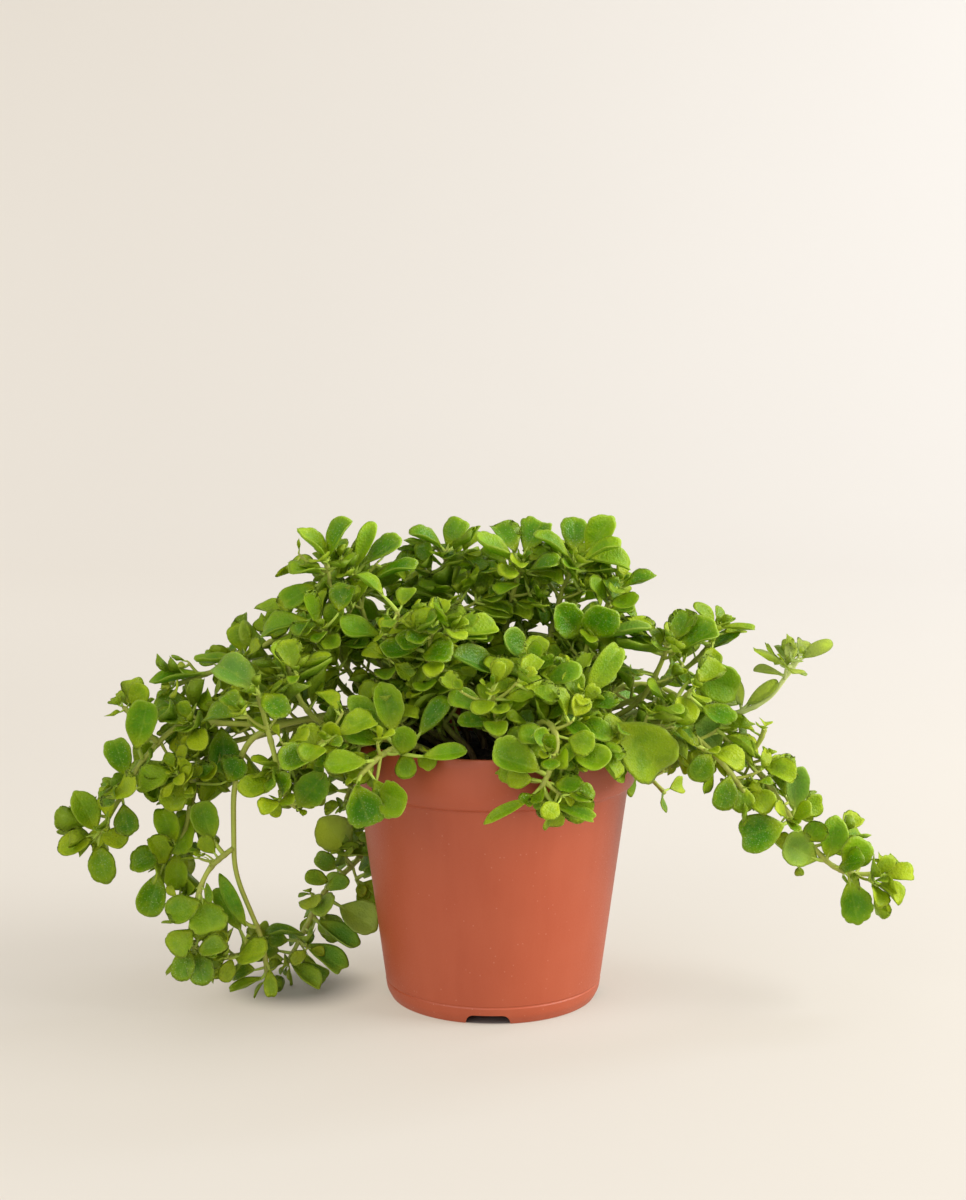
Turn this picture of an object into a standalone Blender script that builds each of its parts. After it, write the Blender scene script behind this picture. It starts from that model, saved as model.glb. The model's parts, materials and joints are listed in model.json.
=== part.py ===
"""A trailing Pilea depressa in the plastic nursery pot that it grows in.

The pot stands on z = 0 with its axis on the Z axis. Its potting soil fills it to just below the
rim. Each rooted stem stands in its own hole in the soil and carries its side shoots, leaf pairs
and tip rosettes as one solid. Shapes are worked out in millimetres and made in metres.
"""

import math
import random
from collections import namedtuple

import bmesh
import bpy
import numpy as np
from mathutils import Vector
from mathutils.bvhtree import BVHTree

MM = 0.001

# Nursery pot
POT_HEIGHT = 97.0
RIM_RADIUS = 52.5
RIM_BAND_HEIGHT = 18.5
BODY_RADIUS_TOP = 49.1
BODY_RADIUS_LOW = 40.2
BODY_LOW_HEIGHT = 12.0
WALL = 1.2
FOOT_RADIUS = 37.4
FOOT_WIDTH = 1.5
FLOOR_HEIGHT = 4.0
FLOOR_BEND = 1.5
RIM_STEP = 1.3
POT_SEGMENTS = 28

# Drain notches in the foot ring and the drain holes behind them
NOTCH_COUNT = 4
NOTCH_TURN = -3.0
NOTCH_WIDTH_TOP = 14.0
NOTCH_WIDTH_LOW = 16.5
NOTCH_HEIGHT = 3.6
NOTCH_DEPTH = 12.0
DRAIN_HOLE_RADIUS = 3.5
DRAIN_HOLE_REACH = 27.0
DRAIN_HOLE_SIDES = 8

# Potting soil
SOIL_EDGE_HEIGHT = 88.0
SOIL_CROWN = 2.0
SOIL_GAP = 0.6
SOIL_ROUGHNESS = 0.4
SOIL_RINGS = 3
SOIL_SEGMENTS = 20
ROOT_DEPTH = 9.0
STEM_HOLE_SIDES = 4
STEM_HOLE_RISE = 3.0
COLLAR_RISE = 4.0

# Stems and leaves
STEM_RADIUS = 1.65
STEM_TIP_RADIUS = 1.0
SIDE_SHOOT_RADIUS = 1.15
STEM_SAG = 0.8
ROUTE_STEP = 2.0
PETIOLE_WIDTH = 1.0
SHORT_PETIOLE = 5.0
BLADE_THICKNESS = 0.7
FIVE_TEETH_LENGTH = 18.5
THREE_TEETH_LENGTH = 12.0
TOOTH_TIP = 1.06
TOOTH_NOTCH = 0.95
TOOTHED_FROM = math.radians(62)
TOOTH_CENTRE = 0.6
BLADE_MIDDLE = 0.55
CUP = 0.5
CLEAR = 0.35
WELD = 0.01
FLAT_ANGLE = math.radians(0.5)
LEAF_SEED = 20
SPREAD_ROUNDS = 60
SPREAD_STEP = 0.1
PUSH_REACH = 3.0

UP = (0.0, -0.2, 1.0)
RAISED = (0.05, -0.45, 0.9)
LEFT = (-0.8, -0.6, 0.3)
LIGHT = (0.1, -0.75, 0.7)
FRONT = (0.1, -1.0, 0.25)
BACK_LIGHT = (0.0, 0.75, 0.7)

# A shoot: its route, the length of its oldest and its youngest stem leaves, how many leaf pairs it
# carries below the tip and how many pairs make its tip rosette
Shoot = namedtuple("Shoot", "route old young pairs rosette")
# A large leaf: where its blade starts and ends, its width and the way that its upper face looks
Large = namedtuple("Large", "base tip width faces")
Spray = namedtuple("Spray", "root shoots large")
Leaf = namedtuple("Leaf", "start base along normal length width curl")

SPRAYS = {
    "left_outer_trail": Spray(
        (-30, -5),
        [
            Shoot([(-47, -6, 104), (-58, -9, 104), (-72, -12, 103), (-85, -14, 102), (-108, -18, 104),
                   (-118, -20, 97), (-128, -20, 85), (-134, -18, 73), (-141, -17, 62)], 14, 10, 1, 1),
            Shoot([(-118, -20, 97), (-124, -22, 104), (-130, -22, 110)], 10, 7, 0, 1),
        ],
        [
            Large((-125, -24, 95), (-120, -27, 114), 10, LIGHT),
            Large((-126, -20, 108), (-122, -24, 119), 9, LIGHT),
            Large((-129, -22, 84), (-133, -26, 100), 9, FRONT),
            Large((-126, -22, 80), (-115, -26, 88), 11, LIGHT),
            Large((-131, -20, 75), (-129, -22, 64), 9, FRONT),
            Large((-141, -20, 65), (-147, -22, 79), 11, LIGHT),
            Large((-142, -20, 62), (-154, -22, 58), 10, LIGHT),
            Large((-141, -18, 60), (-137, -23, 47), 11, FRONT),
            Large((-139, -18, 64), (-130, -24, 61), 9, LIGHT),
        ],
    ),
    "left_middle_trail": Spray(
        (-31, 5),
        [
            Shoot([(-48, 4, 102), (-59, 2, 101), (-73, -1, 98), (-87, -4, 96), (-97, -7, 94), (-104, -9, 88),
                   (-106, -11, 80), (-109, -12, 71), (-111, -12, 61), (-119, -12, 51)], 14, 10, 1, 1),
            Shoot([(-106, -11, 80), (-109, -18, 84), (-111, -25, 87)], 9, 8, 0, 1),
        ],
        [
            Large((-97, -12, 101), (-95, -16, 85), 12, FRONT),
            Large((-94, -16, 81), (-88, -20, 92), 11, FRONT),
            Large((-110, -22, 84), (-114, -27, 74), 10, FRONT),
            Large((-114, -14, 58), (-118, -18, 73), 8, FRONT),
            Large((-118, -14, 56), (-129, -18, 51), 10, LIGHT),
            Large((-117, -14, 52), (-121, -20, 63), 9, LIGHT),
            Large((-120, -12, 48), (-124, -18, 33), 11, FRONT),
            Large((-114, -10, 55), (-114, -14, 41), 9, FRONT),
            Large((-109, -12, 70), (-114, -18, 55), 10, LIGHT),
        ],
    ),
    "left_long_trail": Spray(
        (-32, -14),
        [
            Shoot([(-48, -14, 106), (-60, -18, 106), (-72, -21, 104), (-82, -22, 101), (-88, -20, 95),
                   (-91, -18, 85), (-93, -17, 72), (-93, -16, 57), (-92, -14, 46), (-87, -12, 33),
                   (-83, -10, 20), (-82, -10, 8)], 14, 9, 0, 0),
            Shoot([(-93, -16, 57), (-98, -19, 54), (-102, -22, 50), (-105, -24, 41), (-108, -24, 29),
                   (-109, -22, 18)], 12, 8, 0, 1),
            Shoot([(-83, -10, 20), (-90, -14, 18), (-98, -16, 17), (-104, -17, 16)], 9, 7, 0, 0),
        ],
        [
            Large((-100, -18, 61), (-104, -22, 77), 9, FRONT),
            Large((-99, -18, 56), (-104, -21, 63), 6, FRONT),
            Large((-103, -26, 41), (-115, -30, 36), 12, LIGHT),
            Large((-104, -24, 42), (-99, -32, 30), 13, LIGHT),
            Large((-106, -26, 31), (-113, -30, 23), 10, LIGHT),
            Large((-108, -24, 24), (-111, -30, 13), 9, FRONT),
            Large((-106, -22, 22), (-102, -28, 11), 9, FRONT),
            Large((-89, -14, 28), (-97, -18, 47), 6, FRONT),
            Large((-91, -12, 26), (-101, -10, 41), 8, LIGHT),
            Large((-83, -10, 8), (-96, -12, 3), 6, UP),
            Large((-81, -12, 12), (-80, -16, 2), 5, FRONT),
            Large((-94, -16, 17), (-97, -19, 9), 6, FRONT),
        ],
    ),
    "left_behind_trail": Spray(
        (-26, 22),
        [
            Shoot([(-31, 34, 99), (-35, 42, 104), (-39, 50, 99), (-40, 50, 84), (-41, 47, 66), (-45, 41, 50),
                   (-53, 31, 39), (-63, 20, 33), (-67, 14, 25), (-72, 8, 15), (-76, 4, 9)], 13, 9, 1, 0),
        ],
        [
            Large((-55, 32, 45), (-66, 28, 58), 15, FRONT),
            Large((-58, 18, 27), (-44, 9, 21), 14, LIGHT),
            Large((-66, 14, 22), (-50, 3, 14), 9, UP),
            Large((-70, 8, 15), (-54, -4, 9), 10, UP),
            Large((-75, 4, 9), (-64, -8, 4), 9, UP),
            Large((-70, 8, 18), (-83, 1, 23), 8, UP),
            Large((-59, 26, 39), (-67, 22, 45), 7, FRONT),
            Large((-62, 22, 35), (-71, 18, 38), 7, LIGHT),
            Large((-63, 20, 33), (-54, 14, 37), 7, LIGHT),
        ],
    ),
    "left_upper_stem": Spray(
        (-25, -12),
        [Shoot([(-41, -18, 103), (-52, -26, 104), (-61, -32, 106), (-66, -35, 113), (-69, -36, 120),
                (-71, -36, 127)], 11, 10, 0, 1)],
        [
            Large((-69, -37, 121), (-54, -42, 129), 9, UP),
            Large((-71, -36, 123), (-75, -41, 135), 10, RAISED),
        ],
    ),
    "left_front_trail": Spray(
        (-21, -20),
        [
            Shoot([(-33, -30, 99), (-42, -37, 103), (-52, -43, 102), (-61, -47, 101), (-68, -49, 97),
                   (-73, -49, 94)], 12, 11, 0, 1),
            Shoot([(-61, -47, 101), (-58, -51, 103), (-56, -56, 104)], 14, 15, 0, 1),
            Shoot([(-72, -48, 94), (-75, -47, 103), (-78, -45, 112), (-80, -44, 119)], 12, 8, 0, 1),
            Shoot([(-72, -48, 94), (-72, -49, 86), (-67, -49, 80)], 8, 7, 0, 0),
        ],
        [
            Large((-79, -45, 120), (-95, -40, 129), 12, LIGHT),
            Large((-78, -46, 119), (-70, -52, 111), 10, LIGHT),
            Large((-66, -50, 81), (-57, -55, 93), 12, FRONT),
            Large((-75, -50, 90), (-85, -57, 87), 10, LIGHT),
            Large((-73, -51, 94), (-80, -58, 99), 9, UP),
            Large((-38, -43, 101), (-52, -49, 107), 9, LIGHT),
        ],
    ),
    "left_high_trail": Spray(
        (-23, 13),
        [Shoot([(-40, 17, 100), (-55, 16, 109), (-64, 12, 126), (-74, 8, 131), (-84, 4, 128), (-93, 0, 122),
                (-104, -3, 119), (-114, -6, 115)], 13, 9, 1, 1)],
        [
            Large((-92, 0, 123), (-107, -8, 124), 9, UP),
            Large((-104, -4, 119), (-123, -12, 117), 9, UP),
            Large((-90, 2, 125), (-93, 3, 136), 9, FRONT),
            Large((-80, 5, 130), (-76, 3, 141), 11, LIGHT),
        ],
    ),
    "left_rim_stem": Spray(
        (-19, -27),
        [Shoot([(-28, -40, 100), (-34, -49, 101), (-40, -56, 98), (-45, -59, 93)], 12, 9, 0, 0)],
        [
            Large((-34, -46, 105), (-38, -44, 122), 11, LIGHT),
            Large((-36, -47, 104), (-49, -46, 117), 9, LIGHT),
            Large((-31, -54, 99), (-29, -57, 110), 9, LIGHT),
            Large((-26, -42, 103), (-16, -41, 117), 7, LIGHT),
            Large((-24, -56, 99), (-9, -57, 101), 7, LIGHT),
            Large((-46, -61, 91), (-41, -63, 77), 14, FRONT),
            Large((-42, -58, 98), (-56, -62, 97), 8, LIGHT),
        ],
    ),
    "mound_left_tall": Spray(
        (-19, -3),
        [
            Shoot([(-38, -6, 104), (-50, -10, 118), (-54, -14, 127), (-58, -18, 136), (-62, -22, 143)],
                  12, 10, 0, 1),
            Shoot([(-52, -12, 122), (-55, -12, 132), (-57, -12, 142), (-58, -12, 152), (-59, -12, 161)],
                  11, 9, 0, 1),
        ],
        [
            Large((-59, -12, 161), (-51, -14, 176), 9, LEFT),
            Large((-58, -13, 161), (-68, -18, 172), 11, RAISED),
            Large((-60, -12, 156), (-70, -22, 159), 11, UP),
            Large((-62, -12, 152), (-75, -16, 145), 9, LIGHT),
            Large((-61, -24, 138), (-66, -28, 151), 10, RAISED),
            Large((-57, -18, 136), (-55, -21, 147), 7, LIGHT),
            Large((-64, -20, 140), (-83, -17, 137), 12, RAISED),
        ],
    ),
    "mound_left_back": Spray(
        (-15, 6),
        [Shoot([(-28, 4, 102), (-40, 1, 120), (-46, -2, 138), (-49, -4, 148), (-50, -5, 156)], 13, 10, 1, 1)],
        [
            Large((-49, -6, 157), (-43, -5, 174), 7, LIGHT),
            Large((-47, -4, 158), (-33, -6, 168), 13, RAISED),
            Large((-44, -9, 153), (-27, -18, 161), 11, RAISED),
        ],
    ),
    "mound_left_inner": Spray(
        (-12, -11),
        [Shoot([(-26, -14, 102), (-35, -18, 118), (-35, -23, 130), (-34, -29, 139), (-33, -33, 145)],
               14, 9, 1, 1)],
        [
            Large((-39, -20, 135), (-54, -26, 138), 14, RAISED),
            Large((-38, -17, 144), (-28, -24, 149), 9, UP),
        ],
    ),
    "mound_centre_rosette": Spray(
        (-7, -18),
        [Shoot([(-16, -20, 101), (-23, -24, 116), (-22, -31, 130), (-21, -37, 140)], 13, 11, 1, 1)],
        [
            Large((-23, -37, 136), (-33, -46, 134), 8, LIGHT),
            Large((-26, -29, 132), (-39, -39, 131), 8, LIGHT),
        ],
    ),
    "mound_middle": Spray(
        (-3, 3),
        [Shoot([(-10, 3, 102), (-15, 2, 118), (-14, 0, 134), (-12, -4, 146)], 14, 11, 1, 1)],
        [
            Large((-14, -3, 147), (-27, -8, 151), 14, UP),
            Large((-10, -6, 148), (-5, -12, 157), 11, RAISED),
        ],
    ),
    "mound_top_left": Spray(
        (-9, 14),
        [Shoot([(-19, 15, 104), (-25, 14, 122), (-22, 11, 140), (-18, 8, 154), (-16, 4, 163)], 13, 10, 1, 1)],
        [
            Large((-14, 0, 163), (-5, -8, 171), 12, RAISED),
            Large((-18, 6, 163), (-29, 0, 171), 11, RAISED),
            Large((-17, 8, 163), (-11, 9, 174), 10, RAISED),
        ],
    ),
    "mound_top_centre": Spray(
        (3, 11),
        [Shoot([(4, 12, 104), (3, 9, 122), (5, 4, 138), (8, -2, 150), (10, -8, 159)], 13, 10, 1, 1)],
        [
            Large((7, -6, 160), (-7, -14, 168), 11, RAISED),
            Large((8, -3, 162), (0, 2, 173), 12, RAISED),
            Large((11, -2, 162), (18, 3, 174), 12, RAISED),
            Large((12, -10, 156), (23, -18, 161), 10, RAISED),
            Large((9, -9, 152), (2, -20, 150), 10, UP),
        ],
    ),
    "mound_top_right": Spray(
        (11, 5),
        [Shoot([(15, 5, 104), (19, 3, 120), (22, 1, 138), (25, -3, 150), (29, -6, 159)], 13, 10, 0, 1)],
        [
            Large((27, -8, 161), (15, -11, 171), 9, RAISED),
            Large((29, -4, 162), (29, 3, 175), 11, RAISED),
            Large((31, -8, 160), (45, -13, 168), 10, RAISED),
            Large((33, -5, 162), (42, -6, 175), 9, LIGHT),
            Large((34, -4, 160), (50, -4, 159), 10, RAISED),
        ],
    ),
    "mound_right_upper": Spray(
        (19, 8),
        [Shoot([(27, 8, 104), (34, 5, 121), (39, 3, 136), (42, 0, 146), (45, -2, 151)], 13, 9, 1, 1)],
        [
            Large((46, -3, 150), (58, -5, 154), 9, RAISED),
            Large((43, -5, 146), (49, -15, 144), 11, LIGHT),
            Large((41, -4, 145), (34, -10, 154), 7, LIGHT),
        ],
    ),
    "mound_right_middle": Spray(
        (20, -5),
        [Shoot([(26, -6, 102), (31, -9, 118), (33, -13, 130), (35, -17, 137)], 13, 10, 1, 1)],
        [
            Large((30, -19, 135), (21, -27, 146), 12, FRONT),
            Large((34, -19, 134), (40, -26, 146), 12, FRONT),
            Large((38, -16, 134), (55, -21, 138), 12, UP),
        ],
    ),
    "mound_front_middle": Spray(
        (4, -13),
        [Shoot([(9, -19, 102), (11, -26, 113), (11, -35, 121), (11, -41, 126)], 12, 10, 0, 1)],
        [
            Large((1, -34, 124), (-13, -44, 132), 12, LIGHT),
            Large((12, -27, 128), (3, -36, 137), 11, LIGHT),
            Large((16, -40, 122), (29, -48, 127), 9, LIGHT),
        ],
    ),
    "front_centre_rosette": Spray(
        (1, -28),
        [Shoot([(3, -40, 101), (1, -45, 109), (0, -50, 116), (-1, -54, 121)], 10, 10, 1, 1)],
        [
            Large((-3, -52, 115), (-15, -57, 120), 9, LIGHT),
            Large((0, -46, 109), (-12, -53, 110), 8, LIGHT),
        ],
    ),
    "front_hanging_stem": Spray(
        (10, -31),
        [Shoot([(13, -42, 102), (15, -46, 109), (18, -51, 111), (21, -54, 107), (21, -58, 101),
                (18, -60, 94), (15, -61, 88)], 11, 10, 1, 1)],
        [
            Large((19, -56, 104), (8, -61, 108), 10, LIGHT),
            Large((15, -60, 95), (-2, -64, 102), 13, LIGHT),
            Large((18, -62, 85), (34, -66, 80), 5, LIGHT),
            Large((12, -62, 86), (-3, -66, 80), 5, LIGHT),
            Large((20, -61, 91), (29, -66, 90), 9, LIGHT),
        ],
    ),
    "front_right_leaves": Spray(
        (18, -28),
        [Shoot([(22, -39, 101), (26, -47, 104), (29, -54, 101)], 12, 9, 0, 0)],
        [
            Large((26, -55, 100), (38, -63, 97), 13, LIGHT),
            Large((27, -45, 107), (40, -50, 105), 9, LIGHT),
            Large((22, -44, 111), (32, -55, 104), 6, LIGHT),
            Large((30, -53, 101), (43, -56, 101), 8, UP),
        ],
    ),
    "front_right_rosette": Spray(
        (19, -17),
        [Shoot([(25, -27, 100), (27, -34, 108), (29, -40, 113), (30, -44, 118)], 11, 9, 0, 1)],
        [
            Large((31, -42, 117), (44, -37, 135), 9, FRONT),
            Large((32, -45, 115), (42, -51, 115), 8, LIGHT),
        ],
    ),
    "right_upper_stem": Spray(
        (27, -1),
        [Shoot([(42, -1, 101), (53, -2, 108), (57, -5, 116), (60, -8, 123), (62, -10, 130)], 13, 10, 0, 1)],
        [
            Large((59, -9, 127), (43, -17, 132), 12, UP),
            Large((65, -10, 128), (80, -14, 137), 12, RAISED),
            Large((64, -8, 131), (71, -3, 141), 12, RAISED),
        ],
    ),
    "right_far_stem": Spray(
        (27, 13),
        [Shoot([(42, 15, 102), (55, 15, 107), (69, 14, 116), (77, 12, 123), (81, 9, 130), (82, 8, 134)],
               12, 8, 1, 1)],
        [
            Large((81, 8, 133), (73, 6, 143), 7, RAISED),
            Large((83, 8, 134), (96, 6, 134), 6, UP),
            Large((79, 11, 125), (91, 11, 131), 8, UP),
        ],
    ),
    "right_oblong_leaf_stem": Spray(
        (28, -9),
        [Shoot([(44, -12, 101), (55, -14, 106), (63, -19, 110), (67, -24, 113), (69, -28, 117)],
               13, 12, 0, 1)],
        [
            Large((71, -10, 119), (88, -13, 114), 14, FRONT),
            Large((72, -27, 111), (83, -34, 105), 11, LIGHT),
            Large((60, -17, 112), (54, -27, 117), 10, LIGHT),
        ],
    ),
    "right_reaching_stem": Spray(
        (30, 5),
        [Shoot([(45, 5, 101), (56, 5, 104), (72, 3, 102), (86, 0, 103), (93, -2, 105), (99, -4, 109),
                (104, -6, 116), (107, -7, 121), (109, -8, 125)], 12, 8, 1, 1)],
        [
            Large((90, 0, 106), (85, -2, 117), 7, LIGHT),
            Large((91, -1, 106), (103, -5, 116), 6, LIGHT),
            Large((106, -8, 122), (92, -11, 128), 6, UP),
            Large((105, -6, 118), (93, -10, 122), 5, UP),
            Large((110, -8, 125), (121, -10, 131), 6, LIGHT),
        ],
    ),
    "right_long_trail": Spray(
        (32, -3),
        [
            Shoot([(46, -5, 102), (58, -6, 103), (72, -8, 102), (82, -10, 97), (90, -11, 89), (99, -12, 80),
                   (107, -12, 67), (119, -12, 52), (128, -12, 47), (140, -12, 47)], 13, 10, 1, 1),
            Shoot([(90, -11, 90), (95, -12, 95), (97, -12, 101)], 9, 7, 0, 1),
        ],
        [
            Large((81, -14, 93), (72, -19, 104), 11, FRONT),
            Large((108, -12, 70), (108, -15, 88), 9, FRONT),
            Large((96, -14, 87), (107, -20, 84), 10, LIGHT),
            Large((104, -15, 66), (86, -20, 62), 15, FRONT),
            Large((117, -12, 52), (103, -16, 60), 12, FRONT),
            Large((120, -12, 53), (123, -14, 68), 9, FRONT),
            Large((128, -12, 45), (131, -16, 30), 12, FRONT),
            Large((126, -12, 50), (133, -14, 61), 11, FRONT),
            Large((124, -14, 50), (131, -22, 55), 11, LIGHT),
            Large((112, -14, 60), (117, -20, 69), 8, FRONT),
            Large((140, -13, 47), (151, -16, 49), 8, LIGHT),
        ],
    ),
    "right_second_trail": Spray(
        (27, -18),
        [Shoot([(44, -20, 101), (56, -19, 105), (69, -22, 101), (77, -24, 94), (84, -24, 86), (90, -22, 77)],
               11, 9, 2, 1)],
        [
            Large((88, -22, 82), (86, -26, 73), 9, FRONT),
            Large((90, -22, 79), (98, -28, 75), 9, FRONT),
            Large((83, -24, 86), (79, -28, 74), 8, FRONT),
            Large((76, -26, 94), (69, -32, 86), 10, FRONT),
        ],
    ),
    "right_round_leaf_stem": Spray(
        (23, -23),
        [Shoot([(35, -32, 101), (44, -38, 105), (54, -38, 106), (62, -36, 105)], 11, 8, 0, 1)],
        [
            Large((42, -42, 108), (60, -40, 89), 20, FRONT),
        ],
    ),
    "back_left_trail": Spray(
        (-16, 29),
        [Shoot([(-24, 42, 100), (-32, 52, 105), (-43, 58, 100), (-50, 60, 87), (-53, 58, 72), (-58, 56, 58)],
               14, 10, 4, 1)],
        [],
    ),
    "back_centre_trail": Spray(
        (-3, 31),
        [Shoot([(-5, 43, 100), (-8, 52, 106), (-12, 59, 101), (-14, 62, 88), (-10, 60, 74)], 14, 10, 4, 1)],
        [],
    ),
    "back_right_trail": Spray(
        (14, 30),
        [Shoot([(22, 42, 100), (30, 51, 105), (42, 57, 99), (50, 58, 86), (58, 55, 72), (68, 52, 62)],
               14, 10, 4, 1)],
        [],
    ),
    "back_far_right_stem": Spray(
        (24, 21),
        [Shoot([(37, 29, 101), (50, 34, 108), (62, 36, 108), (75, 35, 101), (84, 33, 91)], 13, 9, 3, 1)],
        [],
    ),
    "mound_back_left": Spray(
        (-20, 20),
        [Shoot([(-30, 26, 104), (-38, 28, 118), (-40, 27, 132), (-38, 25, 144)], 14, 11, 2, 1)],
        [Large((-41, 26, 134), (-55, 22, 139), 12, BACK_LIGHT)],
    ),
    "mound_back_centre": Spray(
        (-4, 22),
        [Shoot([(-6, 27, 104), (-6, 30, 122), (-3, 29, 140), (-1, 26, 152)], 14, 11, 2, 1)],
        [Large((-6, 33, 138), (-12, 45, 141), 12, BACK_LIGHT)],
    ),
    "mound_back_right": Spray(
        (12, 20),
        [Shoot([(19, 25, 104), (26, 27, 120), (29, 26, 136), (28, 24, 149)], 14, 11, 2, 1)],
        [Large((30, 30, 134), (40, 40, 137), 12, BACK_LIGHT)],
    ),
}


def unit(vector):
    """The vector at length one."""
    vector = np.asarray(vector, float)
    return vector / max(np.linalg.norm(vector), 1e-9)


def across(vector, axis):
    """The part of a vector that is square to an axis, at length one."""
    axis = unit(axis)
    return unit(vector - axis * np.dot(vector, axis))


def smooth_route(points, step):
    """A Catmull-Rom curve through the points, read at about every step."""
    points = np.array(points, float)
    ends = np.vstack([2 * points[0] - points[1], points, 2 * points[-1] - points[-2]])
    route = []
    for before, start, stop, after in zip(ends, ends[1:], ends[2:], ends[3:]):
        count = max(2, math.ceil(np.linalg.norm(stop - start)))
        for t in np.arange(count) / count:
            route.append(0.5 * (2 * start + (stop - before) * t
                                + (2 * before - 5 * start + 4 * stop - after) * t ** 2
                                + (3 * start - before - 3 * stop + after) * t ** 3))
    route.append(points[-1])
    route = np.array(route)
    lengths = arc_lengths(route)
    count = max(2, round(lengths[-1] / step))
    places = np.linspace(0, lengths[-1], count + 1)
    return np.column_stack([np.interp(places, lengths, route[:, i]) for i in range(3)])


def arc_lengths(route):
    """How far along the route each of its points lies."""
    return np.concatenate([[0], np.cumsum(np.linalg.norm(np.diff(route, axis=0), axis=1))])


def soil_height(x, y):
    """Height of the soil's crumbly crown: a low dome with a few crossing waves."""
    reach = np.hypot(x, y) / (BODY_RADIUS_TOP - WALL)
    waves = np.sin(0.31 * x + 0.8) * np.sin(0.37 * y + 0.3) + 0.5 * np.sin(0.53 * x - 0.41 * y)
    return SOIL_EDGE_HEIGHT + SOIL_CROWN * (1 - reach ** 2) + SOIL_ROUGHNESS * waves * (1 - reach ** 4)


def pot_profile():
    """Half section of the pot: up its inside, over the rim and down its outside to the foot."""
    band_low = POT_HEIGHT - RIM_BAND_HEIGHT
    foot_inner = FOOT_RADIUS - FOOT_WIDTH
    return [
        (0, FLOOR_HEIGHT + WALL), (BODY_RADIUS_LOW - WALL - FLOOR_BEND, FLOOR_HEIGHT + WALL),
        (BODY_RADIUS_LOW - WALL, BODY_LOW_HEIGHT), (BODY_RADIUS_TOP - WALL, band_low - WALL),
        (RIM_RADIUS - RIM_STEP - WALL, band_low + 1.5), (RIM_RADIUS - 0.6 - WALL, POT_HEIGHT),
        (RIM_RADIUS - 0.5, POT_HEIGHT), (RIM_RADIUS, POT_HEIGHT - 2.5),
        (RIM_RADIUS - 0.2, band_low + 5), (RIM_RADIUS - 1.5, band_low + 0.8),
        (BODY_RADIUS_TOP, band_low), (BODY_RADIUS_LOW, BODY_LOW_HEIGHT),
        (BODY_RADIUS_LOW - 1.2, 3.0), (FOOT_RADIUS, 0), (foot_inner, 0),
        (foot_inner, FLOOR_HEIGHT), (0, FLOOR_HEIGHT),
    ]


def pot_wall_tree():
    """A search tree for the pot's surface, worked out from its half section."""
    turns = np.linspace(0, math.tau, POT_SEGMENTS, endpoint=False)
    points = [(r * math.cos(turn), r * math.sin(turn), z) for turn in turns for r, z in pot_profile()]
    count = len(pot_profile())
    faces = []
    for i in range(POT_SEGMENTS):
        here, there = i * count, (i + 1) % POT_SEGMENTS * count
        faces += [(here + k, here + k + 1, there + k + 1, there + k) for k in range(count - 1)]
    return tree_of(np.array(points), faces)


def material(name, colour, roughness):
    """A plain surface of one colour."""
    made = bpy.data.materials.new(name)
    made.use_nodes = True
    shader = made.node_tree.nodes["Principled BSDF"]
    shader.inputs["Base Color"].default_value = (*colour, 1)
    shader.inputs["Roughness"].default_value = roughness
    return made


def turned(name, profile, segments, collection):
    """A profile turned once round the Z axis by a Screw modifier."""
    points = [(r, 0, z) for r, z in profile]
    mesh = bpy.data.meshes.new(name)
    edges = [(i, i + 1) for i in range(len(points) - 1)]
    mesh.from_pydata((np.array(points, float) * MM).tolist(), edges, [])
    made = bpy.data.objects.new(name, mesh)
    collection.objects.link(made)
    screw = made.modifiers.new("Turn", "SCREW")
    screw.steps = segments
    screw.render_steps = segments
    screw.use_merge_vertices = True
    screw.merge_threshold = WELD * MM
    return made


def as_mesh(made, weld):
    """The object with its modifiers or its curve turned into a mesh, welded where it is asked for."""
    bpy.context.view_layer.update()
    evaluated = made.evaluated_get(bpy.context.evaluated_depsgraph_get())
    mesh = bpy.data.meshes.new_from_object(evaluated)
    name = made.name
    collection = made.users_collection[0]
    bpy.data.objects.remove(made)
    if weld:
        shape = bmesh.new()
        shape.from_mesh(mesh)
        bmesh.ops.remove_doubles(shape, verts=shape.verts, dist=WELD * MM)
        bmesh.ops.recalc_face_normals(shape, faces=shape.faces)
        shape.to_mesh(mesh)
        shape.free()
    made = bpy.data.objects.new(name, mesh)
    collection.objects.link(made)
    return made


def combine(made, collection, operation, solver="EXACT"):
    """Joins everything in a collection to an object, or cuts it away, and removes the collection."""
    boolean = made.modifiers.new("Combine", "BOOLEAN")
    boolean.operation = operation
    boolean.operand_type = "COLLECTION"
    boolean.collection = collection
    boolean.solver = solver
    combined = as_mesh(made, weld=False)
    for piece in list(collection.objects):
        bpy.data.objects.remove(piece)
    bpy.data.collections.remove(collection)
    return combined


def helper_collection(name):
    """A collection for cutters or for repeats that are about to be joined."""
    made = bpy.data.collections.new(name)
    bpy.context.scene.collection.children.link(made)
    return made


def add_cylinder(collection, place, radius, depth, sides):
    """An upright cylinder centred on a place."""
    bpy.ops.mesh.primitive_cylinder_add(vertices=sides, radius=radius * MM, depth=depth * MM,
                                        location=Vector(place) * MM)
    made = bpy.context.object
    made.users_collection[0].objects.unlink(made)
    collection.objects.link(made)
    made.hide_render = True
    made.display_type = "WIRE"
    return made


def add_notch(collection, turn):
    """A cutter for one drain notch: a block through the foot ring, wider at the floor."""
    bpy.ops.mesh.primitive_cube_add(size=1)
    made = bpy.context.object
    made.users_collection[0].objects.unlink(made)
    collection.objects.link(made)
    for vertex in made.data.vertices:
        width = NOTCH_WIDTH_TOP if vertex.co.z > 0 else NOTCH_WIDTH_LOW
        height = NOTCH_HEIGHT if vertex.co.z > 0 else -1
        vertex.co = Vector((vertex.co.x * width, -FOOT_RADIUS + vertex.co.y * NOTCH_DEPTH, height)) * MM
    made.rotation_euler.z = turn
    made.hide_render = True
    made.display_type = "WIRE"


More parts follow.
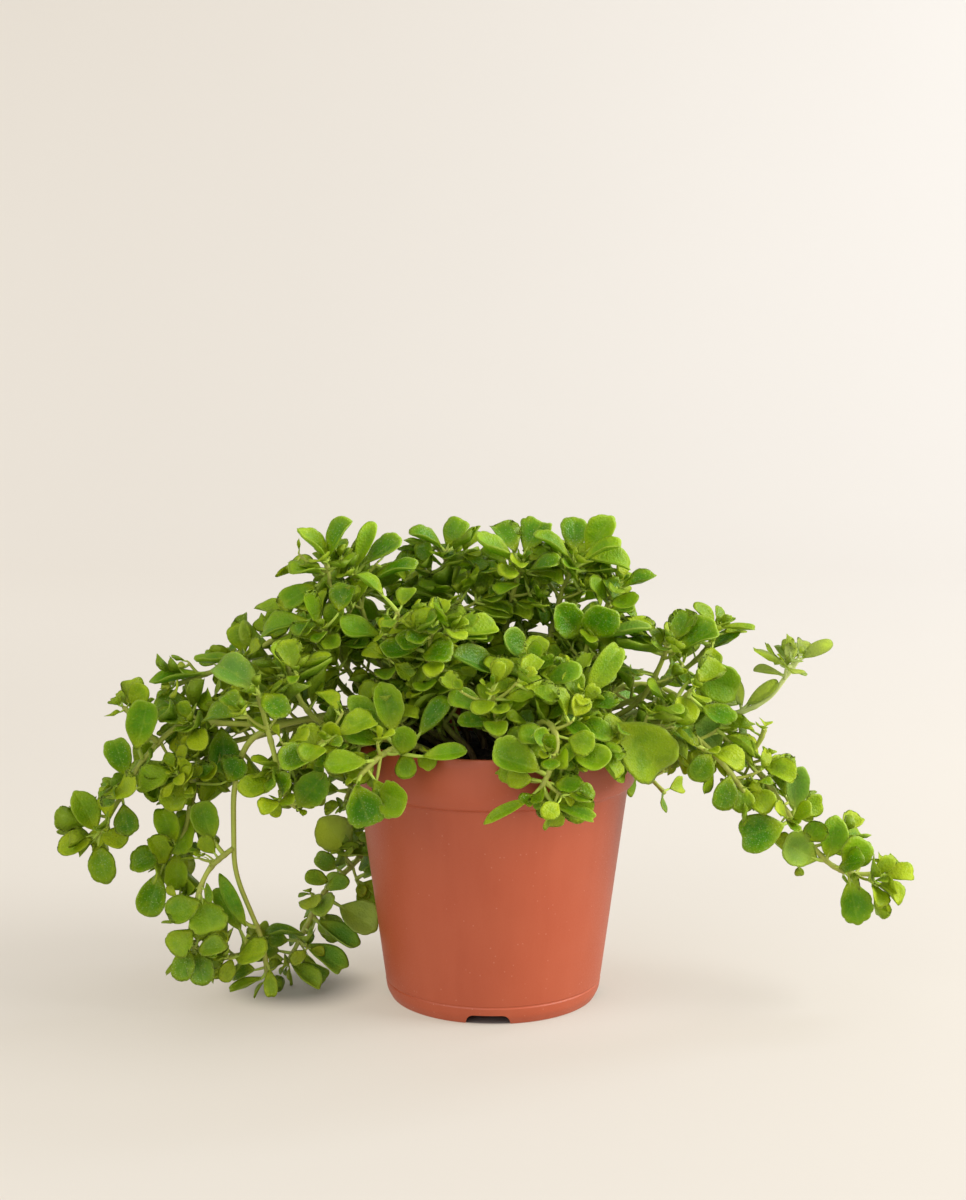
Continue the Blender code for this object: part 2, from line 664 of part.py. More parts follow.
def make_pot(collection):
    """The moulded pot: a turned shell with drain notches in its foot and drain holes in its floor."""
    pot = as_mesh(turned("nursery_pot", pot_profile(), POT_SEGMENTS, collection), weld=True)
    cutters = helper_collection("drain_cutters")
    for i in range(NOTCH_COUNT):
        turn = math.radians(NOTCH_TURN + i * 360 / NOTCH_COUNT)
        add_notch(cutters, turn)
        place = (DRAIN_HOLE_REACH * math.sin(turn), -DRAIN_HOLE_REACH * math.cos(turn), FLOOR_HEIGHT)
        add_cylinder(cutters, place, DRAIN_HOLE_RADIUS, 6 * WALL, DRAIN_HOLE_SIDES)
    pot = combine(pot, cutters, "DIFFERENCE")
    pot.data.materials.append(material("terracotta_plastic", (0.52, 0.16, 0.07), 0.45))
    pot.data.shade_smooth()
    pot.data.set_sharp_from_angle(angle=math.radians(35))


def make_soil(collection, roots):
    """The soil: a turned body inside the pot, its top roughened, with a plain hole for each stem."""
    low = FLOOR_HEIGHT + WALL + SOIL_GAP
    band_low = POT_HEIGHT - RIM_BAND_HEIGHT
    edge = RIM_RADIUS - RIM_STEP - WALL - SOIL_GAP
    top = [(edge * i / SOIL_RINGS, SOIL_EDGE_HEIGHT) for i in range(SOIL_RINGS + 1)]
    side = [
        (edge, band_low + 2.5), (BODY_RADIUS_TOP - WALL - SOIL_GAP, band_low - WALL),
        (BODY_RADIUS_LOW - WALL - SOIL_GAP, BODY_LOW_HEIGHT),
        (BODY_RADIUS_LOW - WALL - FLOOR_BEND - SOIL_GAP, low), (0, low),
    ]
    soil = as_mesh(turned("potting_soil", top + side, SOIL_SEGMENTS, collection), weld=True)
    for vertex in soil.data.vertices:
        if vertex.co.z > (SOIL_EDGE_HEIGHT - 1) * MM:
            vertex.co.z = soil_height(vertex.co.x / MM, vertex.co.y / MM) * MM
    cutters = helper_collection("stem_hole_cutters")
    for x, y in roots:
        place = (x, y, SOIL_EDGE_HEIGHT + STEM_HOLE_RISE)
        depth = 2 * (ROOT_DEPTH + STEM_HOLE_RISE + 1)
        add_cylinder(cutters, place, STEM_RADIUS + 4 * CLEAR, depth, STEM_HOLE_SIDES)
    soil = combine(soil, cutters, "DIFFERENCE")
    soil.data.materials.append(material("potting_mix", (0.035, 0.024, 0.016), 0.95))


def shoot_radii(route, first, last):
    """Stem radius at each point of a route, thinning evenly towards the tip."""
    lengths = arc_lengths(route)
    return first + (last - first) * lengths / lengths[-1]


class Stem:
    """A shoot's centre line with its radii, and the spray that it belongs to."""

    def __init__(self, spray, shoot, route, first_radius, collar):
        self.spray = spray
        self.shoot = shoot
        self.route = route
        self.collar = collar
        self.radii = shoot_radii(route, first_radius, STEM_TIP_RADIUS)
        self.fixed = route[:, 2] < SOIL_EDGE_HEIGHT + 5

    def push(self, at, shift):
        """Moves the stem near one of its points, less and less further from it."""
        steps = np.arange(len(self.route)) - at
        weight = np.exp(-(steps / PUSH_REACH) ** 2)
        weight[self.fixed & (np.hypot(*self.route[:, :2].T) < FOOT_RADIUS)] = 0
        self.route += weight[:, None] * shift

    def straighten(self):
        """Replaces the route by straight runs between the few corners that stay within a sag of it."""
        keep = sorted({0, self.collar, len(self.route) - 1})
        spans = list(zip(keep, keep[1:]))
        while spans:
            start, stop = spans.pop()
            chord = unit(self.route[stop] - self.route[start])
            away = self.route[start:stop + 1] - self.route[start]
            sag = np.linalg.norm(away - np.outer(away @ chord, chord), axis=1)
            middle = start + int(sag.argmax())
            if sag.max() > STEM_SAG:
                keep.append(middle)
                spans += [(start, middle), (middle, stop)]
        keep.sort()
        self.corners = self.route[keep]
        self.corner_radii = self.radii[keep]
        lengths = arc_lengths(self.corners)
        places = np.interp(np.arange(len(self.route)), keep, lengths)
        self.route = np.column_stack([np.interp(places, lengths, self.corners[:, i]) for i in range(3)])

    def frame(self, place):
        """The point and the direction at a distance along the stem."""
        lengths = arc_lengths(self.route)
        point = np.array([np.interp(place, lengths, self.route[:, i]) for i in range(3)])
        ahead = np.array([np.interp(place + 1.5, lengths, self.route[:, i]) for i in range(3)])
        behind = np.array([np.interp(place - 1.5, lengths, self.route[:, i]) for i in range(3)])
        return point, unit(ahead - behind)


def make_stems():
    """Every shoot's centre line: the first of a spray rises from its hole in the soil."""
    stems = []
    for name, spray in SPRAYS.items():
        x, y = spray.root
        foot = soil_height(x, y)
        rise = [(x, y, foot - ROOT_DEPTH), (x, y, foot - COLLAR_RISE), (x, y, foot + COLLAR_RISE)]
        collar = round((ROOT_DEPTH + COLLAR_RISE) / ROUTE_STEP)
        for i, shoot in enumerate(spray.shoots):
            if i:
                route = smooth_route(shoot.route, ROUTE_STEP)
                stems.append(Stem(name, shoot, route, SIDE_SHOOT_RADIUS, 0))
            else:
                route = smooth_route(rise + shoot.route, ROUTE_STEP)
                stems.append(Stem(name, shoot, route, STEM_RADIUS, collar))
    return stems


def spread_stems(stems, pot_tree):
    """Bends stems of different sprays clear of each other and of the pot."""
    for _ in range(SPREAD_ROUNDS):
        crossings = 0
        for i, first in enumerate(stems):
            for second in stems[i + 1:]:
                if first.spray != second.spray:
                    crossings += part_stems(first, second)
        for stem in stems:
            crossings += clear_of_pot(stem, pot_tree)
        if not crossings:
            break
    for i, stem in enumerate(stems):
        main = next(other for other in stems if other.spray == stem.spray)
        if stem is not main:
            nearest = np.linalg.norm(main.route - stem.route[0], axis=1).argmin()
            fade = np.linspace(1, 0, len(stem.route))[:, None]
            stem.route += (main.route[nearest] - stem.route[0]) * fade
    for stem in stems:
        stem.straighten()


def part_stems(first, second):
    """Pushes two stems apart where they are closest. It returns 1 if they had to move."""
    apart = first.route[:, None] - second.route[None]
    distance = np.linalg.norm(apart, axis=2)
    room = distance - first.radii[:, None] - second.radii[None] - 2 * CLEAR - STEM_SAG
    i, j = np.unravel_index(room.argmin(), room.shape)
    if room[i, j] >= 0:
        return 0
    way = apart[i, j] / max(distance[i, j], 0.01) + np.array([0.01, 0.02, 0.1])
    push = unit(way) * (SPREAD_STEP - room[i, j]) / 2
    first.push(i, push)
    second.push(j, -push)
    return 1


def clear_of_pot(stem, pot_tree):
    """Pushes a stem off the pot's wall where it is too close. It returns 1 if it had to move."""
    for i, point in enumerate(stem.route):
        place, normal, _, distance = pot_tree.find_nearest(Vector(point))
        outward = np.array(normal)
        side = np.dot(point - np.array(place), outward)
        short = stem.radii[i] + 2 * CLEAR + STEM_SAG - (distance if side > 0 else -distance)
        if short > 0 and point[2] > FLOOR_HEIGHT:
            stem.push(i, outward * (short + SPREAD_STEP / 2))
            return 1
    return 0


def tooth_angles(teeth):
    """Where a half outline's notches and tooth tips lie, from the side of the blade to its tip."""
    spacing = (math.pi - TOOTHED_FROM) / (teeth / 2)
    return TOOTHED_FROM + np.arange(teeth + 1) / 2 * spacing


def half_outline(leaf, teeth):
    """Half a blade from its side to its tip: obovate, with rounded teeth.

    At an angle that runs from 0 at the base to half a turn at the tip, the outline stands at
    length * ((1 - cos) / 2) ** 0.85 and is width * sin * (1 - 0.45 * cos) / 1.084 wide.
    """
    points = []
    centre = TOOTH_CENTRE * leaf.length
    for i, angle in enumerate(tooth_angles(teeth)):
        x = leaf.length * ((1 - math.cos(angle)) / 2) ** 0.85
        y = leaf.width / 2 * math.sin(angle) * (1 - 0.45 * math.cos(angle)) / 1.084
        grow = (TOOTH_TIP if i % 2 else TOOTH_NOTCH) if i else 1
        points.append((centre + (x - centre) * grow, y * grow))
    points[-1] = (points[-1][0], 0)
    return points


def teeth_of(leaf):
    """Large leaves have five teeth and middling ones three. Young ones have a plain blunt tip."""
    if leaf.length > FIVE_TEETH_LENGTH:
        return 5
    return 3 if leaf.length > THREE_TEETH_LENGTH else 0


def blunt_outline(leaf):
    """Half a young blade: its widest point and the corner of its blunt tip."""
    return [(0.62 * leaf.length, leaf.width / 2), (0.98 * leaf.length, leaf.width / 4)]


def leaf_surface(leaf, grow=0.0):
    """Points, triangles and rim of a leaf's middle surface: a cupped blade that narrows to its root.

    The blade's far half is a fan round its middle or its middle tooth, and its near half a wedge. A
    short petiole is the wedge drawn out to a point inside the stem. A long one is a narrow strip.
    """
    teeth = teeth_of(leaf)
    half = half_outline(leaf, teeth) if teeth else blunt_outline(leaf)
    half = [(x + grow * x / leaf.length, y and y + grow) for x, y in half]
    flat = half + [(x, -y) for x, y in half[::-1] if y]
    ring = list(range(len(flat)))
    hub = len(half) - 1 if teeth else 0
    if teeth > 3:
        hub = len(flat)
        flat.append((BLADE_MIDDLE * leaf.length, 0))
    faces = [(hub, b, a) for a, b in zip(ring, ring[1:] + ring[:1]) if hub not in (a, b)]
    side = np.cross(leaf.normal, leaf.along)
    points = []
    for x, y in flat:
        cup = CUP * (y / leaf.width) ** 2 * leaf.width
        bend = leaf.curl * (x / leaf.length) ** 2 * leaf.length
        points.append(leaf.base + x * leaf.along + y * side + (cup + bend) * leaf.normal)
    first = len(flat)
    stalk = leaf.base - leaf.start
    if np.linalg.norm(stalk) <= SHORT_PETIOLE:
        points.append(leaf.start)
        faces.append((first, ring[-1], 0))
        return np.array(points), faces, ring + [first]
    wide = PETIOLE_WIDTH / 2 + grow
    stalk_side = across(side if abs(np.dot(side, unit(stalk))) < 0.9 else leaf.normal, stalk)
    points += [leaf.base + wide * side, leaf.base - wide * side]
    points += [leaf.start + wide * stalk_side, leaf.start - wide * stalk_side]
    faces += [(first, ring[-1], 0), (first, first + 1, ring[-1])]
    faces += [(first + 2, first + 1, first), (first + 2, first + 3, first + 1)]
    return np.array(points), faces, ring + [first + 1, first + 3, first + 2, first]


def leaf_shell(leaf, grow):
    """Points and triangles of a leaf's closed shape, grown by a margin."""
    return closed_shell(*leaf_surface(leaf, grow), leaf.normal * (BLADE_THICKNESS / 2 + grow))


def blade_shell(leaf):
    """Points and triangles of a leaf's closed blade without its petiole."""
    points, faces, rim = leaf_surface(leaf._replace(start=leaf.base + 0.15 * leaf.length * leaf.along))
    return closed_shell(points, faces, rim, leaf.normal * BLADE_THICKNESS / 2)


def closed_shell(points, faces, rim, lift):
    """A leaf surface given a thickness: the surface above and below it, and its rim."""
    count = len(points)
    shell = list(faces) + [tuple(i + count for i in face[::-1]) for face in faces]
    for start, stop in zip(rim, rim[1:] + rim[:1]):
        shell += [(start, stop, stop + count), (start, stop + count, start + count)]
    return np.vstack([points + lift, points - lift]), shell


def tree_of(points, faces):
    """A search tree for a shape's triangles."""
    return BVHTree.FromPolygons(points.tolist(), faces)


def ball_round(points):
    """The middle of a shape's points and how far they reach from it."""
    middle = points.mean(axis=0)
    return middle, np.linalg.norm(points - middle, axis=1).max()


def meets(tree, middle, reach, pieces):
    """Whether a shape crosses any of the pieces, each a spray, a ball round it and its tree."""
    return any(np.linalg.norm(centre - middle) < reach + size and tree.overlap(other)
               for _, centre, size, other in pieces)


class Crowd:
    """What is already placed, to keep each new leaf clear of every other spray, pot and soil."""

    def __init__(self, pot_tree):
        self.pot_tree = pot_tree
        self.pieces = []
        self.blades = []

    def add(self, spray, points, faces):
        """Adds a closed shape that other sprays keep clear of."""
        self.pieces.append((spray, *ball_round(points), tree_of(points, faces)))

    def add_leaf(self, spray, leaf):
        """Adds a leaf. Its own spray's leaves keep clear of its blade, but not of its petiole."""
        self.add(spray, *leaf_shell(leaf, 0.0))
        points, faces = blade_shell(leaf)
        self.blades.append((spray, *ball_round(points), tree_of(points, faces)))

    def is_clear(self, spray, leaf):
        points, faces = leaf_shell(leaf, CLEAR)
        inside = np.hypot(points[:, 0], points[:, 1]) < RIM_RADIUS
        if points[:, 2].min() < CLEAR:
            return False
        if (points[inside, 2] < SOIL_EDGE_HEIGHT + SOIL_CROWN + 1).any() and inside.all():
            return False
        tree = tree_of(points, faces)
        if tree.overlap(self.pot_tree):
            return False
        middle, reach = ball_round(points)
        others = [piece for piece in self.pieces if piece[0] != spray]
        if meets(tree, middle, reach, others):
            return False
        points, faces = blade_shell(leaf)
        siblings = [blade for blade in self.blades if blade[0] == spray]
        return not meets(tree_of(points, faces), middle, reach, siblings)

    def place(self, spray, choices):
        """Adds the first of the choices that is clear of everything, and returns it."""
        for leaf in choices:
            if self.is_clear(spray, leaf):
                self.add_leaf(spray, leaf)
                return leaf
        return None


def stem_shell(stem):
    """Points and triangles of a six-sided tube round a stem's centre line."""
    route, radii = stem.corners, stem.corner_radii
    points = []
    faces = []
    for i, (point, radius) in enumerate(zip(route, radii)):
        ahead = unit(route[min(i + 1, len(route) - 1)] - route[max(i - 1, 0)])
        side = across((0.3, 1, 0.2), ahead)
        up = np.cross(ahead, side)
        for turn in np.arange(6) * math.pi / 3:
            points.append(point + radius * (math.cos(turn) * side + math.sin(turn) * up))
    for i in range(len(route) - 1):
        for k in range(6):
            a, b = 6 * i + k, 6 * i + (k + 1) % 6
            faces += [(a, b, b + 6), (a, b + 6, a + 6)]
    return np.array(points), faces


def large_leaf_choices(large, stems):
    """A large leaf as chosen, then moved or turned a little further each time."""
    base = np.array(large.base, float)
    tip = np.array(large.tip, float)
    for shift, turn, size in (
        ((0, 0, 0), 0, 1), ((0, -1.5, 0), 0, 1), ((0, 1.5, 0), 0, 1), ((0, 0, 1.5), 0, 1),
        ((0, 0, 0), 0.3, 1), ((0, 0, 0), -0.3, 1), ((0, -3, 0), 0, 1), ((0, 3, 0), 0, 1),
        ((1.5, 0, 0), 0, 1), ((-1.5, 0, 0), 0, 1), ((0, -3, 1.5), 0.3, 0.9),
        ((0, 3, 1.5), -0.3, 0.9), ((0, -5, 0), 0, 0.9), ((0, 5, 0), 0, 0.9),
        ((0, -2, 2), 0.6, 0.8), ((0, 2, 2), -0.6, 0.8), ((0, -4, -2), 0, 0.7), ((0, 4, -2), 0, 0.7),
    ):
        start = base + shift
        along = unit(tip - base)
        length = np.linalg.norm(tip - base) * size
        normal = across(np.array(large.faces), along)
        side = np.cross(normal, along)
        normal = unit(normal * math.cos(turn) + side * math.sin(turn))
        foot = foot_on_stem(start, along, stems)
        yield Leaf(foot, start, along, normal, length, large.width * size, -0.05)


def foot_on_stem(base, along, stems):
    """The point inside a spray's stems that a leaf grows from: near its base, and behind it."""
    points = np.vstack([stem.route[:-1] for stem in stems])
    points = points[points[:, 2] > 3]
    away = base - points
    distance = np.linalg.norm(away, axis=1)
    aligned = (away @ along) / np.maximum(distance, 0.5)
    return points[(distance + 5 * (1 - aligned)).argmin()]


def pair_leaf(stem, place, turn, length, lift, draw):
    """Choices for one leaf of a pair that stands at a place on a stem, turned about it."""
    point, ahead = stem.frame(place)
    side = across((0.35, 1, 0.25), ahead)
    other = np.cross(ahead, side)
    outward = unit((point[0], point[1], 0.0))
    roll = draw.uniform(-0.2, 0.2)
    width = length * draw.uniform(0.68, 0.86)
    for twist, extra, size in ((0, 0, 1), (0.35, 0, 1), (-0.35, 0, 1), (0, 0.35, 0.95), (0.7, 0.2, 0.95),
                               (-0.7, 0.2, 0.95), (0.2, 0.6, 0.8), (-0.2, -0.4, 0.8), (1.1, 0.3, 0.75),
                               (-1.1, 0.3, 0.75), (0, 0.9, 0.65), (0.5, 0.9, 0.6)):
        angle = turn + roll + twist
        radial = math.cos(angle) * side + math.sin(angle) * other
        slope = lift + extra
        along = unit(math.cos(slope) * radial + math.sin(slope) * ahead)
        face = unit(0.55 * ahead + np.array([0, 0, 0.6]) + 0.3 * outward)
        normal = across(face, along)
        stalk = stem.radii[0] + 0.22 * length * size
        base = point + stalk * along
        curl = 0.05 if lift > 0.6 else -0.05
        yield Leaf(point, base, along, normal, length * size, width * size, curl)


def rosette_rings(shoot):
    """The pairs of a tip rosette: how far behind the tip, how long, and how far up they lean."""
    return ((1.6, shoot.young, 0.3), (0.2, 0.66 * shoot.young, 0.75))[:shoot.rosette]


def place_leaves(stems, crowd):
    """Every leaf of every spray: the large ones, then tip rosettes, then the pairs below them."""
    leaves = {name: [] for name in SPRAYS}
    for name, spray in SPRAYS.items():
        own = [stem for stem in stems if stem.spray == name]
        for large in spray.large:
            leaves[name].append(crowd.place(name, large_leaf_choices(large, own)))
    for stem in stems:
        length = arc_lengths(stem.route)[-1]
        for ring, (behind, size, lift) in enumerate(rosette_rings(stem.shoot)):
            for turn in (0, math.pi):
                draw = random.Random(f"{stem.spray} {stem.shoot.route[-1]} {ring} {turn:.1f} {LEAF_SEED}")
                turn += ring * math.pi / 2
                choices = pair_leaf(stem, length - behind, turn, size, lift, draw)
                leaves[stem.spray].append(crowd.place(stem.spray, choices))
    for stem in stems:
        lengths = arc_lengths(stem.route)
        start = lengths[(stem.route[:, 2] > POT_HEIGHT + 4).argmax()]
        for i in range(stem.shoot.pairs):
            share = (i + 1) / (stem.shoot.pairs + 1)
            place = start + (lengths[-1] - start) * share
            size = stem.shoot.old + (stem.shoot.young - stem.shoot.old) * share
            for turn in (0, math.pi):
                draw = random.Random(f"{stem.spray} pair {i} {turn:.1f} {LEAF_SEED}")
                turn += (stem.shoot.pairs - i + 1) * math.pi / 2 + 0.4
                choices = pair_leaf(stem, place, turn, size, 0.35, draw)
                leaves[stem.spray].append(crowd.place(stem.spray, choices))
    return {name: [leaf for leaf in found if leaf] for name, found in leaves.items()}


def make_tube(name, stem, sides_more, collection):
    """A stem as a round curve with a thinning bevel, turned into a mesh."""
    curve = bpy.data.curves.new(name, "CURVE")
    curve.dimensions = "3D"
    curve.bevel_depth = MM
    curve.bevel_resolution = sides_more
    curve.use_fill_caps = True
    spline = curve.splines.new("POLY")
    spline.points.add(len(stem.corners) - 1)
    for point, place, radius in zip(spline.points, stem.corners, stem.corner_radii):
        point.co = (*(place * MM), 1)
        point.radius = radius
    made = bpy.data.objects.new(name, curve)
    collection.objects.link(made)
    return as_mesh(made, weld=True)


def make_leaf(name, leaf, collection):
    """A leaf as an open surface thickened to a closed blade."""
    points, faces, _ = leaf_surface(leaf)
    shape = bmesh.new()
    vertices = [shape.verts.new(Vector(point) * MM) for point in points + leaf.normal * BLADE_THICKNESS / 2]
    for face in faces:
        shape.faces.new([vertices[i] for i in face])
    bmesh.ops.recalc_face_normals(shape, faces=shape.faces)
    bmesh.ops.solidify(shape, geom=shape.faces[:], thickness=BLADE_THICKNESS * MM)
    bmesh.ops.triangulate(shape, faces=shape.faces[:])
    bmesh.ops.recalc_face_normals(shape, faces=shape.faces)
    mesh = bpy.data.meshes.new(name)
    shape.to_mesh(mesh)
    shape.free()
    made = bpy.data.objects.new(name, mesh)
    collection.objects.link(made)
    return made


def merge_flat_faces(made):
    """Drops the points that a union left along straight edges and inside flat faces.

    It returns whether the mesh is closed: every edge between two faces.
    """
    shape = bmesh.new()
    shape.from_mesh(made.data)
    bmesh.ops.dissolve_limit(shape, angle_limit=FLAT_ANGLE, verts=shape.verts[:], edges=shape.edges[:])
    bmesh.ops.triangulate(shape, faces=shape.faces[:])
    shape.to_mesh(made.data)
    closed = all(edge.is_manifold for edge in shape.edges)
    shape.free()
    return closed


def join_spray(name, stems, leaves, collection, solver):
    """A rooted stem joined with its side shoots and leaves, and whether the result is closed.

    A stem that reaches out past the rim has six sides, and a stem inside the mound has four.
    """
    repeats = helper_collection(name + "_repeats")
    reach = np.hypot(*stems[0].route[:, :2].T).max()
    main = make_tube(name, stems[0], 1 if reach > RIM_RADIUS else 0, collection)
    for i, stem in enumerate(stems[1:]):
        make_tube(f"{name}_side_{i}", stem, 0, repeats)
    for i, leaf in enumerate(leaves):
        make_leaf(f"{name}_leaf_{i}", leaf, repeats)
    spray = combine(main, repeats, "UNION", solver)
    return spray, merge_flat_faces(spray)


def make_spray(name, stems, leaves, collection, skin):
    """One spray as a closed solid: by the exact solver, or by the manifold one where that fails."""
    spray, closed = join_spray(name, stems, leaves, collection, "EXACT")
    if not closed:
        bpy.data.objects.remove(spray)
        spray, _ = join_spray(name, stems, leaves, collection, "MANIFOLD")
    spray.data.materials.append(skin)


def main():
    for found in list(bpy.data.objects):
        bpy.data.objects.remove(found)
    plant = bpy.data.collections.new("pilea_depressa_in_pot")
    bpy.context.scene.collection.children.link(plant)
    make_pot(plant)
    make_soil(plant, [spray.root for spray in SPRAYS.values()])
    pot_tree = pot_wall_tree()
    stems = make_stems()
    spread_stems(stems, pot_tree)
    crowd = Crowd(pot_tree)
    for stem in stems:
        crowd.add(stem.spray, *stem_shell(stem))
    leaves = place_leaves(stems, crowd)
    skin = material("leaf_green", (0.14, 0.34, 0.04), 0.4)
    for name in SPRAYS:
        own = [stem for stem in stems if stem.spray == name]
        make_spray(name, own, leaves[name], plant, skin)


main()
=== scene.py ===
"""The looks of a trailing Pilea depressa in its nursery pot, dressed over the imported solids.

The stems and the main leaves are worked out again from the same chosen points, sizes and seeds as
the solids, so each finer spray keeps the form of the node that it replaces. Smaller leaves then
fill the crowns and the stems. Shapes are worked out in millimetres and made in metres.
"""

import itertools
import json
import math
import random
from collections import namedtuple

import bpy
import numpy as np
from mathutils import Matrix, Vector
from mathutils.bvhtree import BVHTree

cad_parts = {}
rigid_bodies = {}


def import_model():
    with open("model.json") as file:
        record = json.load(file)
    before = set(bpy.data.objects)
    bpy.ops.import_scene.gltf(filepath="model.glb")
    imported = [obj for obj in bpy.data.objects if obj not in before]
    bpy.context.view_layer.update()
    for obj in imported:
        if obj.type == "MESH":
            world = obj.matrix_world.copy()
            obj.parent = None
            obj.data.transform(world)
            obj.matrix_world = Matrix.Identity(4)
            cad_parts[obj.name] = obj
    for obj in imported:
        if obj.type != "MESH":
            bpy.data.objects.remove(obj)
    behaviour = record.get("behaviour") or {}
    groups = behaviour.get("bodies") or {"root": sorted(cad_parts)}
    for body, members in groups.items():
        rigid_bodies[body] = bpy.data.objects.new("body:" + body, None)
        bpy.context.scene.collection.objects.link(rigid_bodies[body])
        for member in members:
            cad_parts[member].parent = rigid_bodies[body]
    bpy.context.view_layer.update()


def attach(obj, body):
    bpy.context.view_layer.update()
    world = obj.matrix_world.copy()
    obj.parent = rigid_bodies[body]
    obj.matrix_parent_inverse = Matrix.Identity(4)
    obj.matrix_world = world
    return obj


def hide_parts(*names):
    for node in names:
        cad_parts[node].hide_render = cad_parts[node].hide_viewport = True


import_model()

Surface = namedtuple("Surface", "points triangles quads marks places triangle_skins quad_skins")

MM = 0.001

# Nursery pot
POT_HEIGHT = 97.0
RIM_RADIUS = 52.5
RIM_BAND_HEIGHT = 18.5
BODY_RADIUS_TOP = 49.1
BODY_RADIUS_LOW = 40.2
BODY_LOW_HEIGHT = 12.0
WALL = 1.2
FOOT_RADIUS = 37.4
FOOT_WIDTH = 1.5
FLOOR_HEIGHT = 4.0
FLOOR_BEND = 1.5
RIM_STEP = 1.3
WALL_TREE_STEPS = 28

# Drain notches in the foot ring and the drain holes behind them
NOTCH_COUNT = 4
NOTCH_TURN = -3.0
NOTCH_WIDTH_TOP = 14.0
NOTCH_WIDTH_LOW = 16.5
NOTCH_HEIGHT = 3.6
NOTCH_DEPTH = 12.0
DRAIN_HOLE_RADIUS = 3.5
DRAIN_HOLE_REACH = 27.0

# Potting soil
SOIL_EDGE_HEIGHT = 88.0
SOIL_CROWN = 2.0
SOIL_GAP = 0.6
SOIL_ROUGHNESS = 0.4
ROOT_DEPTH = 9.0
COLLAR_RISE = 4.0

# Stems and leaves
STEM_RADIUS = 1.65
STEM_TIP_RADIUS = 1.0
SIDE_SHOOT_RADIUS = 1.15
STEM_SAG = 0.8
ROUTE_STEP = 2.0
PETIOLE_WIDTH = 1.0
SHORT_PETIOLE = 5.0
BLADE_THICKNESS = 0.7
FIVE_TEETH_LENGTH = 18.5
THREE_TEETH_LENGTH = 12.0
TOOTH_TIP = 1.06
TOOTH_NOTCH = 0.95
TOOTHED_FROM = math.radians(62)
TOOTH_CENTRE = 0.6
BLADE_MIDDLE = 0.55
CUP = 0.5
CLEAR = 0.35
LEAF_SEED = 20
SPREAD_ROUNDS = 60
SPREAD_STEP = 0.1
PUSH_REACH = 3.0
FIXED_RISE = 5.0
FRAME_REACH = 1.5
STEM_LEAN = (0.35, 1, 0.25)
STEM_NUDGE = (0.01, 0.02, 0.1)
BLADE_START = 0.15
BLUNT_WIDEST = 0.62
BLUNT_TIP = 0.98
FOOT_LOWEST = 3.0
FOOT_BEHIND = 5.0
PAIRS_ABOVE_RIM = 4.0
PAIR_LIFT = 0.35
PAIR_TURN = 0.4
PAIR_ROLL = 0.2
PAIR_WIDTHS = (0.68, 0.86)
PAIR_STALK = 0.22
LEAF_CURL = 0.05
UPRIGHT_LIFT = 0.6
# How far a leaf's upper face looks along the stem, up, and outward from the pot
FACE_AHEAD = 0.55
FACE_UP = 0.6
FACE_OUTWARD = 0.3
# Pairs of a tip rosette: how far behind the tip, their share of the youngest leaves' length, their lean
ROSETTE_RINGS = ((1.6, 1.0, 0.3), (0.2, 0.66, 0.75))
# Tries for a chosen leaf until one is clear: how far it moves, how far it turns, its share of the size
LARGE_TRIES = (
    ((0, 0, 0), 0, 1), ((0, -1.5, 0), 0, 1), ((0, 1.5, 0), 0, 1), ((0, 0, 1.5), 0, 1),
    ((0, 0, 0), 0.3, 1), ((0, 0, 0), -0.3, 1), ((0, -3, 0), 0, 1), ((0, 3, 0), 0, 1),
    ((1.5, 0, 0), 0, 1), ((-1.5, 0, 0), 0, 1), ((0, -3, 1.5), 0.3, 0.9), ((0, 3, 1.5), -0.3, 0.9),
    ((0, -5, 0), 0, 0.9), ((0, 5, 0), 0, 0.9), ((0, -2, 2), 0.6, 0.8), ((0, 2, 2), -0.6, 0.8),
    ((0, -4, -2), 0, 0.7), ((0, 4, -2), 0, 0.7),
)
# Tries for a leaf of a pair: how far it turns about the stem, how far it leans up, its share of the size
PAIR_TRIES = (
    (0, 0, 1), (0.35, 0, 1), (-0.35, 0, 1), (0, 0.35, 0.95), (0.7, 0.2, 0.95), (-0.7, 0.2, 0.95),
    (0.2, 0.6, 0.8), (-0.2, -0.4, 0.8), (1.1, 0.3, 0.75), (-1.1, 0.3, 0.75), (0, 0.9, 0.65),
    (0.5, 0.9, 0.6),
)

# Finer shapes of the pot and the soil
POT_STEPS = 144
BEND_STEPS = 6
LINE_HEIGHT = 6.5
LINE_WIDTH = 0.55
LINE_DEPTH = 0.3
NOTCH_FILLET = 2.2
DRAIN_HOLE_STEPS = 24
SOIL_FINE_RINGS = 44
SOIL_FINE_STEPS = 120
CRUMB_COUNT = 260
CRUMB_MARGIN = 2.0
SHARP_EDGE = math.radians(40)

# Finer shapes of the stems and leaves
LEAF_TOP = 0
LEAF_BACK = 1
STEM_SKIN = 2
FINE_THICKNESS = 1.0
FINE_STEM_SHARE = 0.8
TRAIL_YOUTH = 0.25
TOOTH_DEPTH = 0.085
YOUNG_CUP = 0.7
FINE_WAVE = 0.05
MIDRIB_DEPTH = 0.03
STALK_RADIUS = 0.72
STALK_STEPS = 7
STALK_SIDES = 6
STALK_HOLD = 0.24
STALK_MARK = 0.2
STEM_SIDES = 10
STEM_MESH_STEP = 1.3
RELAX_ROUNDS = 12
NODE_SWELL = 0.28
SWELL_REACH = 1.3
OLD_STEM_MARK = 1.15
OLD_STEM_LENGTH = 42.0
GREEN_STEM_MARK = 0.3
# For leaves from one length to another: teeth, steps up the wedge, rings on the upper and lower face
BLADE_GRADES = (
    (0, 7.5, 3, 2, (0.75, 1.0), ()),
    (7.5, 14.5, 5, 2, (0.78, 1.0), ()),
    (14.5, 99, 7, 3, (0.45, 0.85, 1.0), (0.85,)),
)

